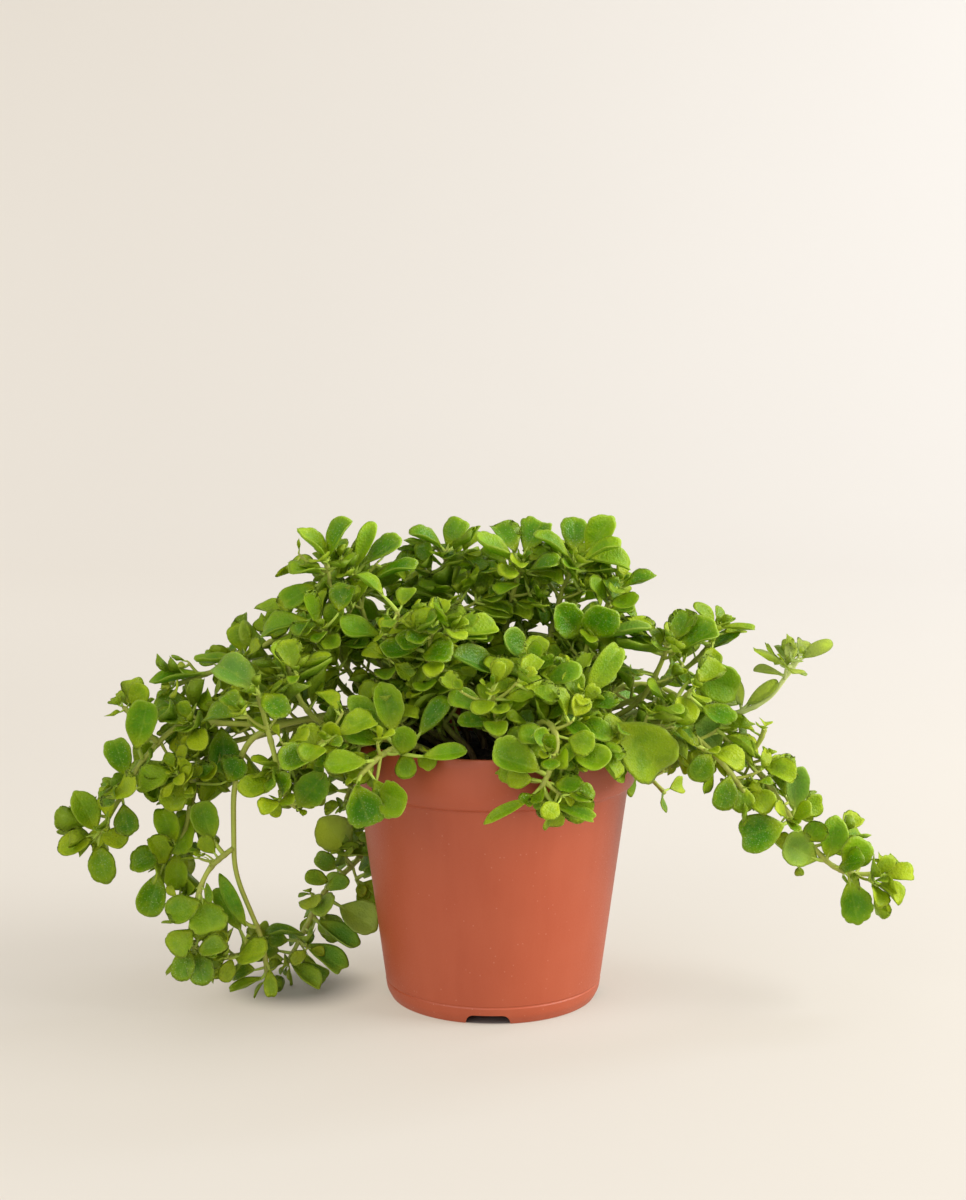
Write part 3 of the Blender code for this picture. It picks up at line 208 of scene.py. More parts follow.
# Growth that fills the plant, but keeps the chosen leaves and the openings between leaves in view
KEPT_LENGTH = 9.0
KEPT_SHARE = 0.3
VIEW_SHARE = 0.34
OPENING_SHARE = 0.4
FILL_CHOICES = 8
FILL_SIZES = (0.85, 1.12)
FILL_CURLS = (-0.12, 0.06)
FILL_CORE = 0.68
FILL_CLEAR = 0.05
FILL_PAIR_SHARE = 0.9
FILL_PAIR_STALK = 0.24
FILL_PAIR_SHIFT = 0.6
FILL_PAIRS_ABOVE_RIM = -2.0
FILL_PAIR_TURN = 0.9
MOUND_MARGIN = 12.0
MOUND_SHOOT_SPACING = 10.0
TRAIL_SHOOT_SPACING = 18.0
MOUND_PAIR_SPACING = 11.0
TRAIL_PAIR_SPACING = 12.0
BARE_TRAILS = ("left_long_trail",)
DENSE_TRAILS = {"left_behind_trail": 6.0, "right_long_trail": 10.0}
SHOOT_RADIUS = 0.85
SHOOT_TIP_RADIUS = 0.6 * SHOOT_RADIUS
SHOOTS_ABOVE_RIM = -4.0
SHOOT_LENGTHS = (6.0, 13.0)
SHOOT_LEAVES = (11.0, 15.0)
SHOOT_TURN = 0.3
SHOOT_SLOPE = 0.55
SHOOT_RISE = 0.5
FEWEST_SHOOT_LEAVES = 2
RING_TURN = 0.4
MOST_SHAPES = 6000
# Tries for a side shoot: how far it turns about the stem and its share of the length
SHOOT_TRIES = ((0, 1), (0.5, 1), (-0.5, 1), (0, 0.7), (1.0, 0.8), (-1.0, 0.8))
# Rings of leaves round a tip: how far behind it, their share of the size, their lean and their stalk
TIP_RINGS = ((3.6, 1.25, 0.15, 0.25), (0.1, 0.85, 0.6, 0.1), (-0.6, 0.45, 1.1, 0.05))
SHOOT_RINGS = ((1.4, 1.0, 0.3, 0.12), (0.0, 0.75, 0.7, 0.08), (-0.5, 0.45, 1.1, 0.04))
# How pale the leaves of a spray can be: partly their own pale tone, partly painted backlight
PALE_SPRAYS = {"left_behind_trail": 0.12, "right_reaching_stem": 0.75, "left_long_trail": 0.05}
# Chosen large leaves, by number in their spray: age, tint towards deep green, paleness
# The first leaf of left_behind_trail and the leaves of right_reaching_stem are painted young and pale
# for the light that shines through them, and the first leaf of left_middle_trail is tinted deep partly as
# painted shade
LEAF_LOOKS = {
    "left_rim_stem": {0: (0.5, 0.6, 0), 1: (0.6, 0.65, 0), 5: (1, 0.95, 0)},
    "right_round_leaf_stem": {0: (0.45, 0.35, 0)},
    "left_behind_trail": {0: (0, 0, 1), 1: (0.3, 0.2, 0.4), 3: (0.9, 0.7, 0.1)},
    "mound_right_middle": {0: (0.9, 0.85, 0), 1: (0.9, 0.9, 0), 2: (0.8, 0.6, 0.1)},
    "mound_front_middle": {0: (0.9, 0.9, 0.05), 1: (0.9, 0.85, 0.05), 2: (0.8, 0.6, 0)},
    "front_right_rosette": {0: (0.5, 0.45, 0)},
    "left_middle_trail": {0: (1, 1, 0), 1: (1, 0.85, 0)},
    "left_front_trail": {0: (0.9, 0.75, 0.12), 2: (0.9, 0.7, 0)},
    "right_long_trail": {0: (0.9, 0.6, 0.2), 1: (0.9, 0.6, 0.2), 3: (1, 0.9, 0), 4: (0.6, 0.4, 0.15),
                         6: (0.8, 0.65, 0)},
    "right_oblong_leaf_stem": {0: (0.7, 0.5, 0), 1: (0.8, 0.75, 0)},
    "front_hanging_stem": {1: (0.5, 0.6, 0), 4: (0.7, 0.6, 0)},
    "right_reaching_stem": {number: (0.1, 0.1, 0.85) for number in range(5)},
}

# Places between the leaves that the growth keeps free, in the photograph's pixels: across, down, reach
OPENINGS = np.array([
    (287, 855, 36), (248, 745, 10), (215, 815, 12), (212, 870, 12), (124, 858, 10), (144, 808, 8),
    (345, 795, 8), (289, 721, 7), (313, 716, 8), (348, 886, 7), (188, 642, 14), (220, 631, 10),
    (93, 769, 14), (120, 728, 12), (151, 910, 14), (158, 950, 14), (383, 602, 4), (372, 626, 3),
    (439, 539, 3), (557, 596, 5), (539, 634, 5), (345, 668, 6), (375, 672, 6), (642, 576, 8),
    (639, 600, 6), (651, 810, 28), (784, 722, 28), (821, 660, 16), (749, 676, 7), (735, 655, 7),
    (725, 810, 10), (753, 772, 7), (818, 841, 7), (821, 890, 14), (885, 835, 16), (133, 830, 12),
    (262, 915, 7), (290, 915, 10), (672, 785, 12), (650, 605, 8), (672, 612, 8), (410, 742, 8),
    (452, 738, 13), (485, 748, 11), (352, 812, 6), (195, 965, 6), (618, 702, 12), (642, 690, 8),
    (352, 702, 7), (650, 775, 12), (694, 796, 17), (428, 735, 8), (462, 712, 7), (470, 690, 5),
    (712, 783, 7), (285, 545, 8), (272, 562, 8), (265, 744, 9), (640, 660, 7), (662, 666, 8),
    (690, 662, 6), (676, 690, 7), (641, 697, 5), (727, 705, 7), (843, 800, 9), (868, 812, 7),
    (815, 832, 7), (783, 872, 9), (816, 874, 7), (906, 862, 6), (895, 915, 7), (72, 795, 7), (60, 848, 6),
    (128, 832, 8), (160, 820, 7), (172, 972, 7), (205, 985, 6), (768, 640, 8), (812, 682, 7),
    (746, 689, 9),
])

# Colours
YOUNG_GREEN = (0.5, 0.6, 0.012, 1.0)
OLD_GREEN = (0.17, 0.43, 0.001, 1.0)
DEEP_GREEN = (0.06, 0.225, 0.001, 1.0)
# Veins, and a painted highlight along each leaf's rim
VEIN_AND_RIM_HIGHLIGHT_GREEN = (0.52, 0.68, 0.08, 1.0)
# Pale leaves, stems and specks: partly their own tone, partly painted backlight and painted sparkle
PALE_GREEN = (0.6, 0.68, 0.28, 1.0)
YOUNG_BACK = (0.4, 0.52, 0.025, 1.0)
OLD_BACK = (0.21, 0.38, 0.018, 1.0)
DEEP_BACK = (0.15, 0.29, 0.015, 1.0)
YOUNG_GLOW = (0.62, 0.71, 0.01, 1.0)
OLD_GLOW = (0.28, 0.6, 0.002, 1.0)
TOP_SEE_THROUGH = 0.42
BACK_SEE_THROUGH = 0.45
PALE_SEE_THROUGH = 0.8

# Camera, stage and light, in millimetres and in metres
EYE = np.array([-3.7, -679.0, 227.5])
LENS = 57.0
PHOTO_FOCAL = 1900.0
PHOTO_MIDDLE = np.array([483.0, 600.0])
CAMERA_DIP = math.radians(6.93)
STAGE_FRONT = 2200.0
STAGE_BACK = 2300.0
STAGE_BEND = 900.0
STAGE_TOP = 2600.0
STAGE_SIDE = 2600.0
PLANT_AIM = (0.0, 0.0, 0.1)
BACKDROP_AIM = (0.7, 2.3, 0.5)
LOW_BACKDROP_AIM = (-0.9, 2.2, 0.1)
SKY_STRENGTH = 0.84
WINDOW_POWER = 22.0
FILL_POWER = 10.0
BACKDROP_POWER = 35.0
LOW_BACKDROP_POWER = 5.0
PAPER_GLOW = (0.4, 0.345, 0.27, 1.0)
# A shadow painted into the paper's glow under the leaves that lie on the floor: its middle, its reach and how
# much glow it takes away
LYING_LEAVES = (-72.0, 5.0)
LYING_REACH = 32.0
LYING_PAINTED_SHADE = 0.8

UP = (0.0, -0.2, 1.0)
RAISED = (0.05, -0.45, 0.9)
LEFT = (-0.8, -0.6, 0.3)
LIGHT = (0.1, -0.75, 0.7)
FRONT = (0.1, -1.0, 0.25)
BACK_LIGHT = (0.0, 0.75, 0.7)

# A shoot: its route, the length of its oldest and its youngest stem leaves, how many leaf pairs it
# carries below the tip and how many pairs make its tip rosette
Shoot = namedtuple("Shoot", "route old young pairs rosette")
# A large leaf: where its blade starts and ends, its width and the way that its upper face looks
Large = namedtuple("Large", "base tip width faces")
# A rooted stem: where it stands in the soil, its shoots and its chosen large leaves
Spray = namedtuple("Spray", "root shoots large")
Leaf = namedtuple("Leaf", "start base along normal length width curl")


def spray(root, shoots, large=()):
    """A rooted stem from plain values, in the order that its shoots and large leaves name them."""
    return Spray(root, [Shoot(*shoot) for shoot in shoots], [Large(*leaf) for leaf in large])


SPRAYS = {
    "left_outer_trail": spray((-30, -5), [
        ([(-47, -6, 104), (-58, -9, 104), (-72, -12, 103), (-85, -14, 102), (-108, -18, 104),
          (-118, -20, 97), (-128, -20, 85), (-134, -18, 73), (-141, -17, 62)], 14, 10, 1, 1),
        ([(-118, -20, 97), (-124, -22, 104), (-130, -22, 110)], 10, 7, 0, 1),
    ], [
        ((-125, -24, 95), (-120, -27, 114), 10, LIGHT), ((-126, -20, 108), (-122, -24, 119), 9, LIGHT),
        ((-129, -22, 84), (-133, -26, 100), 9, FRONT), ((-126, -22, 80), (-115, -26, 88), 11, LIGHT),
        ((-131, -20, 75), (-129, -22, 64), 9, FRONT), ((-141, -20, 65), (-147, -22, 79), 11, LIGHT),
        ((-142, -20, 62), (-154, -22, 58), 10, LIGHT), ((-141, -18, 60), (-137, -23, 47), 11, FRONT),
        ((-139, -18, 64), (-130, -24, 61), 9, LIGHT),
    ]),
    "left_middle_trail": spray((-31, 5), [
        ([(-48, 4, 102), (-59, 2, 101), (-73, -1, 98), (-87, -4, 96), (-97, -7, 94), (-104, -9, 88),
          (-106, -11, 80), (-109, -12, 71), (-111, -12, 61), (-119, -12, 51)], 14, 10, 1, 1),
        ([(-106, -11, 80), (-109, -18, 84), (-111, -25, 87)], 9, 8, 0, 1),
    ], [
        ((-97, -12, 101), (-95, -16, 85), 12, FRONT), ((-94, -16, 81), (-88, -20, 92), 11, FRONT),
        ((-110, -22, 84), (-114, -27, 74), 10, FRONT), ((-114, -14, 58), (-118, -18, 73), 8, FRONT),
        ((-118, -14, 56), (-129, -18, 51), 10, LIGHT), ((-117, -14, 52), (-121, -20, 63), 9, LIGHT),
        ((-120, -12, 48), (-124, -18, 33), 11, FRONT), ((-114, -10, 55), (-114, -14, 41), 9, FRONT),
        ((-109, -12, 70), (-114, -18, 55), 10, LIGHT),
    ]),
    "left_long_trail": spray((-32, -14), [
        ([(-48, -14, 106), (-60, -18, 106), (-72, -21, 104), (-82, -22, 101), (-88, -20, 95),
          (-91, -18, 85), (-93, -17, 72), (-93, -16, 57), (-92, -14, 46), (-87, -12, 33), (-83, -10, 20),
          (-82, -10, 8)], 14, 9, 0, 0),
        ([(-93, -16, 57), (-98, -19, 54), (-102, -22, 50), (-105, -24, 41), (-108, -24, 29),
          (-109, -22, 18)], 12, 8, 0, 1),
        ([(-83, -10, 20), (-90, -14, 18), (-98, -16, 17), (-104, -17, 16)], 9, 7, 0, 0),
    ], [
        ((-100, -18, 61), (-104, -22, 77), 9, FRONT), ((-99, -18, 56), (-104, -21, 63), 6, FRONT),
        ((-103, -26, 41), (-115, -30, 36), 12, LIGHT), ((-104, -24, 42), (-99, -32, 30), 13, LIGHT),
        ((-106, -26, 31), (-113, -30, 23), 10, LIGHT), ((-108, -24, 24), (-111, -30, 13), 9, FRONT),
        ((-106, -22, 22), (-102, -28, 11), 9, FRONT), ((-89, -14, 28), (-97, -18, 47), 6, FRONT),
        ((-91, -12, 26), (-101, -10, 41), 8, LIGHT), ((-83, -10, 8), (-96, -12, 3), 6, UP),
        ((-81, -12, 12), (-80, -16, 2), 5, FRONT), ((-94, -16, 17), (-97, -19, 9), 6, FRONT),
    ]),
    "left_behind_trail": spray((-26, 22), [
        ([(-31, 34, 99), (-35, 42, 104), (-39, 50, 99), (-40, 50, 84), (-41, 47, 66), (-45, 41, 50),
          (-53, 31, 39), (-63, 20, 33), (-67, 14, 25), (-72, 8, 15), (-76, 4, 9)], 13, 9, 1, 0),
    ], [
        ((-55, 32, 45), (-66, 28, 58), 15, FRONT), ((-58, 18, 27), (-44, 9, 21), 14, LIGHT),
        ((-66, 14, 22), (-50, 3, 14), 9, UP), ((-70, 8, 15), (-54, -4, 9), 10, UP),
        ((-75, 4, 9), (-64, -8, 4), 9, UP), ((-70, 8, 18), (-83, 1, 23), 8, UP),
        ((-59, 26, 39), (-67, 22, 45), 7, FRONT), ((-62, 22, 35), (-71, 18, 38), 7, LIGHT),
        ((-63, 20, 33), (-54, 14, 37), 7, LIGHT),
    ]),
    "left_upper_stem": spray((-25, -12), [
        ([(-41, -18, 103), (-52, -26, 104), (-61, -32, 106), (-66, -35, 113), (-69, -36, 120),
          (-71, -36, 127)], 11, 10, 0, 1),
    ], [
        ((-69, -37, 121), (-54, -42, 129), 9, UP), ((-71, -36, 123), (-75, -41, 135), 10, RAISED),
    ]),
    "left_front_trail": spray((-21, -20), [
        ([(-33, -30, 99), (-42, -37, 103), (-52, -43, 102), (-61, -47, 101), (-68, -49, 97),
          (-73, -49, 94)], 12, 11, 0, 1),
        ([(-61, -47, 101), (-58, -51, 103), (-56, -56, 104)], 14, 15, 0, 1),
        ([(-72, -48, 94), (-75, -47, 103), (-78, -45, 112), (-80, -44, 119)], 12, 8, 0, 1),
        ([(-72, -48, 94), (-72, -49, 86), (-67, -49, 80)], 8, 7, 0, 0),
    ], [
        ((-79, -45, 120), (-95, -40, 129), 12, LIGHT), ((-78, -46, 119), (-70, -52, 111), 10, LIGHT),
        ((-66, -50, 81), (-57, -55, 93), 12, FRONT), ((-75, -50, 90), (-85, -57, 87), 10, LIGHT),
        ((-73, -51, 94), (-80, -58, 99), 9, UP), ((-38, -43, 101), (-52, -49, 107), 9, LIGHT),
    ]),
    "left_high_trail": spray((-23, 13), [
        ([(-40, 17, 100), (-55, 16, 109), (-64, 12, 126), (-74, 8, 131), (-84, 4, 128), (-93, 0, 122),
          (-104, -3, 119), (-114, -6, 115)], 13, 9, 1, 1),
    ], [
        ((-92, 0, 123), (-107, -8, 124), 9, UP), ((-104, -4, 119), (-123, -12, 117), 9, UP),
        ((-90, 2, 125), (-93, 3, 136), 9, FRONT), ((-80, 5, 130), (-76, 3, 141), 11, LIGHT),
    ]),
    "left_rim_stem": spray((-19, -27), [
        ([(-28, -40, 100), (-34, -49, 101), (-40, -56, 98), (-45, -59, 93)], 12, 9, 0, 0),
    ], [
        ((-34, -46, 105), (-38, -44, 122), 11, LIGHT), ((-36, -47, 104), (-49, -46, 117), 9, LIGHT),
        ((-31, -54, 99), (-29, -57, 110), 9, LIGHT), ((-26, -42, 103), (-16, -41, 117), 7, LIGHT),
        ((-24, -56, 99), (-9, -57, 101), 7, LIGHT), ((-46, -61, 91), (-41, -63, 77), 14, FRONT),
        ((-42, -58, 98), (-56, -62, 97), 8, LIGHT),
    ]),
    "mound_left_tall": spray((-19, -3), [
        ([(-38, -6, 104), (-50, -10, 118), (-54, -14, 127), (-58, -18, 136),
          (-62, -22, 143)], 12, 10, 0, 1),
        ([(-52, -12, 122), (-55, -12, 132), (-57, -12, 142), (-58, -12, 152),
          (-59, -12, 161)], 11, 9, 0, 1),
    ], [
        ((-59, -12, 161), (-51, -14, 176), 9, LEFT), ((-58, -13, 161), (-68, -18, 172), 11, RAISED),
        ((-60, -12, 156), (-70, -22, 159), 11, UP), ((-62, -12, 152), (-75, -16, 145), 9, LIGHT),
        ((-61, -24, 138), (-66, -28, 151), 10, RAISED), ((-57, -18, 136), (-55, -21, 147), 7, LIGHT),
        ((-64, -20, 140), (-83, -17, 137), 12, RAISED),
    ]),
    "mound_left_back": spray((-15, 6), [
        ([(-28, 4, 102), (-40, 1, 120), (-46, -2, 138), (-49, -4, 148), (-50, -5, 156)], 13, 10, 1, 1),
    ], [
        ((-49, -6, 157), (-43, -5, 174), 7, LIGHT), ((-47, -4, 158), (-33, -6, 168), 13, RAISED),
        ((-44, -9, 153), (-27, -18, 161), 11, RAISED),
    ]),
    "mound_left_inner": spray((-12, -11), [
        ([(-26, -14, 102), (-35, -18, 118), (-35, -23, 130), (-34, -29, 139),
          (-33, -33, 145)], 14, 9, 1, 1),
    ], [
        ((-39, -20, 135), (-54, -26, 138), 14, RAISED), ((-38, -17, 144), (-28, -24, 149), 9, UP),
    ]),
    "mound_centre_rosette": spray((-7, -18), [
        ([(-16, -20, 101), (-23, -24, 116), (-22, -31, 130), (-21, -37, 140)], 13, 11, 1, 1),
    ], [
        ((-23, -37, 136), (-33, -46, 134), 8, LIGHT), ((-26, -29, 132), (-39, -39, 131), 8, LIGHT),
    ]),
    "mound_middle": spray((-3, 3), [
        ([(-10, 3, 102), (-15, 2, 118), (-14, 0, 134), (-12, -4, 146)], 14, 11, 1, 1),
    ], [
        ((-14, -3, 147), (-27, -8, 151), 14, UP), ((-10, -6, 148), (-5, -12, 157), 11, RAISED),
    ]),
    "mound_top_left": spray((-9, 14), [
        ([(-19, 15, 104), (-25, 14, 122), (-22, 11, 140), (-18, 8, 154), (-16, 4, 163)], 13, 10, 1, 1),
    ], [
        ((-14, 0, 163), (-5, -8, 171), 12, RAISED), ((-18, 6, 163), (-29, 0, 171), 11, RAISED),
        ((-17, 8, 163), (-11, 9, 174), 10, RAISED),
    ]),
    "mound_top_centre": spray((3, 11), [
        ([(4, 12, 104), (3, 9, 122), (5, 4, 138), (8, -2, 150), (10, -8, 159)], 13, 10, 1, 1),
    ], [
        ((7, -6, 160), (-7, -14, 168), 11, RAISED), ((8, -3, 162), (0, 2, 173), 12, RAISED),
        ((11, -2, 162), (18, 3, 174), 12, RAISED), ((12, -10, 156), (23, -18, 161), 10, RAISED),
        ((9, -9, 152), (2, -20, 150), 10, UP),
    ]),
    "mound_top_right": spray((11, 5), [
        ([(15, 5, 104), (19, 3, 120), (22, 1, 138), (25, -3, 150), (29, -6, 159)], 13, 10, 0, 1),
    ], [
        ((27, -8, 161), (15, -11, 171), 9, RAISED), ((29, -4, 162), (29, 3, 175), 11, RAISED),
        ((31, -8, 160), (45, -13, 168), 10, RAISED), ((33, -5, 162), (42, -6, 175), 9, LIGHT),
        ((34, -4, 160), (50, -4, 159), 10, RAISED),
    ]),
    "mound_right_upper": spray((19, 8), [
        ([(27, 8, 104), (34, 5, 121), (39, 3, 136), (42, 0, 146), (45, -2, 151)], 13, 9, 1, 1),
    ], [
        ((46, -3, 150), (58, -5, 154), 9, RAISED), ((43, -5, 146), (49, -15, 144), 11, LIGHT),
        ((41, -4, 145), (34, -10, 154), 7, LIGHT),
    ]),
    "mound_right_middle": spray((20, -5), [
        ([(26, -6, 102), (31, -9, 118), (33, -13, 130), (35, -17, 137)], 13, 10, 1, 1),
    ], [
        ((30, -19, 135), (21, -27, 146), 12, FRONT), ((34, -19, 134), (40, -26, 146), 12, FRONT),
        ((38, -16, 134), (55, -21, 138), 12, UP),
    ]),
    "mound_front_middle": spray((4, -13), [
        ([(9, -19, 102), (11, -26, 113), (11, -35, 121), (11, -41, 126)], 12, 10, 0, 1),
    ], [
        ((1, -34, 124), (-13, -44, 132), 12, LIGHT), ((12, -27, 128), (3, -36, 137), 11, LIGHT),
        ((16, -40, 122), (29, -48, 127), 9, LIGHT),
    ]),
    "front_centre_rosette": spray((1, -28), [
        ([(3, -40, 101), (1, -45, 109), (0, -50, 116), (-1, -54, 121)], 10, 10, 1, 1),
    ], [
        ((-3, -52, 115), (-15, -57, 120), 9, LIGHT), ((0, -46, 109), (-12, -53, 110), 8, LIGHT),
    ]),
    "front_hanging_stem": spray((10, -31), [
        ([(13, -42, 102), (15, -46, 109), (18, -51, 111), (21, -54, 107), (21, -58, 101), (18, -60, 94),
          (15, -61, 88)], 11, 10, 1, 1),
    ], [
        ((19, -56, 104), (8, -61, 108), 10, LIGHT), ((15, -60, 95), (-2, -64, 102), 13, LIGHT),
        ((18, -62, 85), (34, -66, 80), 5, LIGHT), ((12, -62, 86), (-3, -66, 80), 5, LIGHT),
        ((20, -61, 91), (29, -66, 90), 9, LIGHT),
    ]),
    "front_right_leaves": spray((18, -28), [
        ([(22, -39, 101), (26, -47, 104), (29, -54, 101)], 12, 9, 0, 0),
    ], [
        ((26, -55, 100), (38, -63, 97), 13, LIGHT), ((27, -45, 107), (40, -50, 105), 9, LIGHT),
        ((22, -44, 111), (32, -55, 104), 6, LIGHT), ((30, -53, 101), (43, -56, 101), 8, UP),
    ]),
    "front_right_rosette": spray((19, -17), [
        ([(25, -27, 100), (27, -34, 108), (29, -40, 113), (30, -44, 118)], 11, 9, 0, 1),
    ], [
        ((31, -42, 117), (44, -37, 135), 9, FRONT), ((32, -45, 115), (42, -51, 115), 8, LIGHT),
    ]),
    "right_upper_stem": spray((27, -1), [
        ([(42, -1, 101), (53, -2, 108), (57, -5, 116), (60, -8, 123), (62, -10, 130)], 13, 10, 0, 1),
    ], [
        ((59, -9, 127), (43, -17, 132), 12, UP), ((65, -10, 128), (80, -14, 137), 12, RAISED),
        ((64, -8, 131), (71, -3, 141), 12, RAISED),
    ]),
    "right_far_stem": spray((27, 13), [
        ([(42, 15, 102), (55, 15, 107), (69, 14, 116), (77, 12, 123), (81, 9, 130),
          (82, 8, 134)], 12, 8, 1, 1),
    ], [
        ((81, 8, 133), (73, 6, 143), 7, RAISED), ((83, 8, 134), (96, 6, 134), 6, UP),
        ((79, 11, 125), (91, 11, 131), 8, UP),
    ]),
    "right_oblong_leaf_stem": spray((28, -9), [
        ([(44, -12, 101), (55, -14, 106), (63, -19, 110), (67, -24, 113), (69, -28, 117)], 13, 12, 0, 1),
    ], [
        ((71, -10, 119), (88, -13, 114), 14, FRONT), ((72, -27, 111), (83, -34, 105), 11, LIGHT),
        ((60, -17, 112), (54, -27, 117), 10, LIGHT),
    ]),
    "right_reaching_stem": spray((30, 5), [
        ([(45, 5, 101), (56, 5, 104), (72, 3, 102), (86, 0, 103), (93, -2, 105), (99, -4, 109),
          (104, -6, 116), (107, -7, 121), (109, -8, 125)], 12, 8, 1, 1),
    ], [
        ((90, 0, 106), (85, -2, 117), 7, LIGHT), ((91, -1, 106), (103, -5, 116), 6, LIGHT),
        ((106, -8, 122), (92, -11, 128), 6, UP), ((105, -6, 118), (93, -10, 122), 5, UP),
        ((110, -8, 125), (121, -10, 131), 6, LIGHT),
    ]),
    "right_long_trail": spray((32, -3), [
        ([(46, -5, 102), (58, -6, 103), (72, -8, 102), (82, -10, 97), (90, -11, 89), (99, -12, 80),
          (107, -12, 67), (119, -12, 52), (128, -12, 47), (140, -12, 47)], 13, 10, 1, 1),
        ([(90, -11, 90), (95, -12, 95), (97, -12, 101)], 9, 7, 0, 1),
    ], [
        ((81, -14, 93), (72, -19, 104), 11, FRONT), ((108, -12, 70), (108, -15, 88), 9, FRONT),
        ((96, -14, 87), (107, -20, 84), 10, LIGHT), ((104, -15, 66), (86, -20, 62), 15, FRONT),
        ((117, -12, 52), (103, -16, 60), 12, FRONT), ((120, -12, 53), (123, -14, 68), 9, FRONT),
        ((128, -12, 45), (131, -16, 30), 12, FRONT), ((126, -12, 50), (133, -14, 61), 11, FRONT),
        ((124, -14, 50), (131, -22, 55), 11, LIGHT), ((112, -14, 60), (117, -20, 69), 8, FRONT),
        ((140, -13, 47), (151, -16, 49), 8, LIGHT),
    ]),
    "right_second_trail": spray((27, -18), [
        ([(44, -20, 101), (56, -19, 105), (69, -22, 101), (77, -24, 94), (84, -24, 86),
          (90, -22, 77)], 11, 9, 2, 1),
    ], [
        ((88, -22, 82), (86, -26, 73), 9, FRONT), ((90, -22, 79), (98, -28, 75), 9, FRONT),
        ((83, -24, 86), (79, -28, 74), 8, FRONT), ((76, -26, 94), (69, -32, 86), 10, FRONT),
    ]),
    "right_round_leaf_stem": spray((23, -23), [
        ([(35, -32, 101), (44, -38, 105), (54, -38, 106), (62, -36, 105)], 11, 8, 0, 1),
    ], [
        ((42, -42, 108), (60, -40, 89), 20, FRONT),
    ]),
    "back_left_trail": spray((-16, 29), [
        ([(-24, 42, 100), (-32, 52, 105), (-43, 58, 100), (-50, 60, 87), (-53, 58, 72),
          (-58, 56, 58)], 14, 10, 4, 1),
    ]),
    "back_centre_trail": spray((-3, 31), [
        ([(-5, 43, 100), (-8, 52, 106), (-12, 59, 101), (-14, 62, 88), (-10, 60, 74)], 14, 10, 4, 1),
    ]),
    "back_right_trail": spray((14, 30), [
        ([(22, 42, 100), (30, 51, 105), (42, 57, 99), (50, 58, 86), (58, 55, 72),
          (68, 52, 62)], 14, 10, 4, 1),
    ]),
    "back_far_right_stem": spray((24, 21), [
        ([(37, 29, 101), (50, 34, 108), (62, 36, 108), (75, 35, 101), (84, 33, 91)], 13, 9, 3, 1),
    ]),
    "mound_back_left": spray((-20, 20), [
        ([(-30, 26, 104), (-38, 28, 118), (-40, 27, 132), (-38, 25, 144)], 14, 11, 2, 1),
    ], [
        ((-41, 26, 134), (-55, 22, 139), 12, BACK_LIGHT),
    ]),
    "mound_back_centre": spray((-4, 22), [
        ([(-6, 27, 104), (-6, 30, 122), (-3, 29, 140), (-1, 26, 152)], 14, 11, 2, 1),
    ], [
        ((-6, 33, 138), (-12, 45, 141), 12, BACK_LIGHT),
    ]),
    "mound_back_right": spray((12, 20), [
        ([(19, 25, 104), (26, 27, 120), (29, 26, 136), (28, 24, 149)], 14, 11, 2, 1),
    ], [
        ((30, 30, 134), (40, 40, 137), 12, BACK_LIGHT),
    ]),
}


def unit(vector):
    """The vector at length one."""
    vector = np.asarray(vector, float)
    return vector / max(np.linalg.norm(vector), 1e-9)


def across(vector, axis):
    """The part of a vector that is square to an axis, at length one."""
    axis = unit(axis)
    return unit(vector - axis * np.dot(vector, axis))


def smooth_route(points, step):
    """A Catmull-Rom curve through the points, read at about every step."""
    points = np.array(points, float)
    ends = np.vstack([2 * points[0] - points[1], points, 2 * points[-1] - points[-2]])
    route = []
    for before, start, stop, after in zip(ends, ends[1:], ends[2:], ends[3:]):
        count = max(2, math.ceil(np.linalg.norm(stop - start)))
        for t in np.arange(count) / count:
            route.append(0.5 * (2 * start + (stop - before) * t
                                + (2 * before - 5 * start + 4 * stop - after) * t ** 2
                                + (3 * start - before - 3 * stop + after) * t ** 3))
    return evenly(np.array(route + [points[-1]]), step, 2)


def evenly(route, step, fewest):
    """A route read again at about every step, in no fewer steps than given."""
    length = arc_lengths(route)[-1]
    return read_route(route, np.linspace(0, length, max(fewest, round(length / step)) + 1))


def read_route(route, places):
    """The points that lie at some places along a route."""
    lengths = arc_lengths(route)
    return np.column_stack([np.interp(places, lengths, route[:, i]) for i in range(3)])


def arc_lengths(route):
    """How far along the route each of its points lies."""
    return np.concatenate([[0], np.cumsum(np.linalg.norm(np.diff(route, axis=0), axis=1))])


def soil_height(x, y):
    """Height of the soil's crumbly crown: a low dome with a few crossing waves."""
    reach = np.hypot(x, y) / (BODY_RADIUS_TOP - WALL)
    waves = np.sin(0.31 * x + 0.8) * np.sin(0.37 * y + 0.3) + 0.5 * np.sin(0.53 * x - 0.41 * y)
    return SOIL_EDGE_HEIGHT + SOIL_CROWN * (1 - reach ** 2) + SOIL_ROUGHNESS * waves * (1 - reach ** 4)


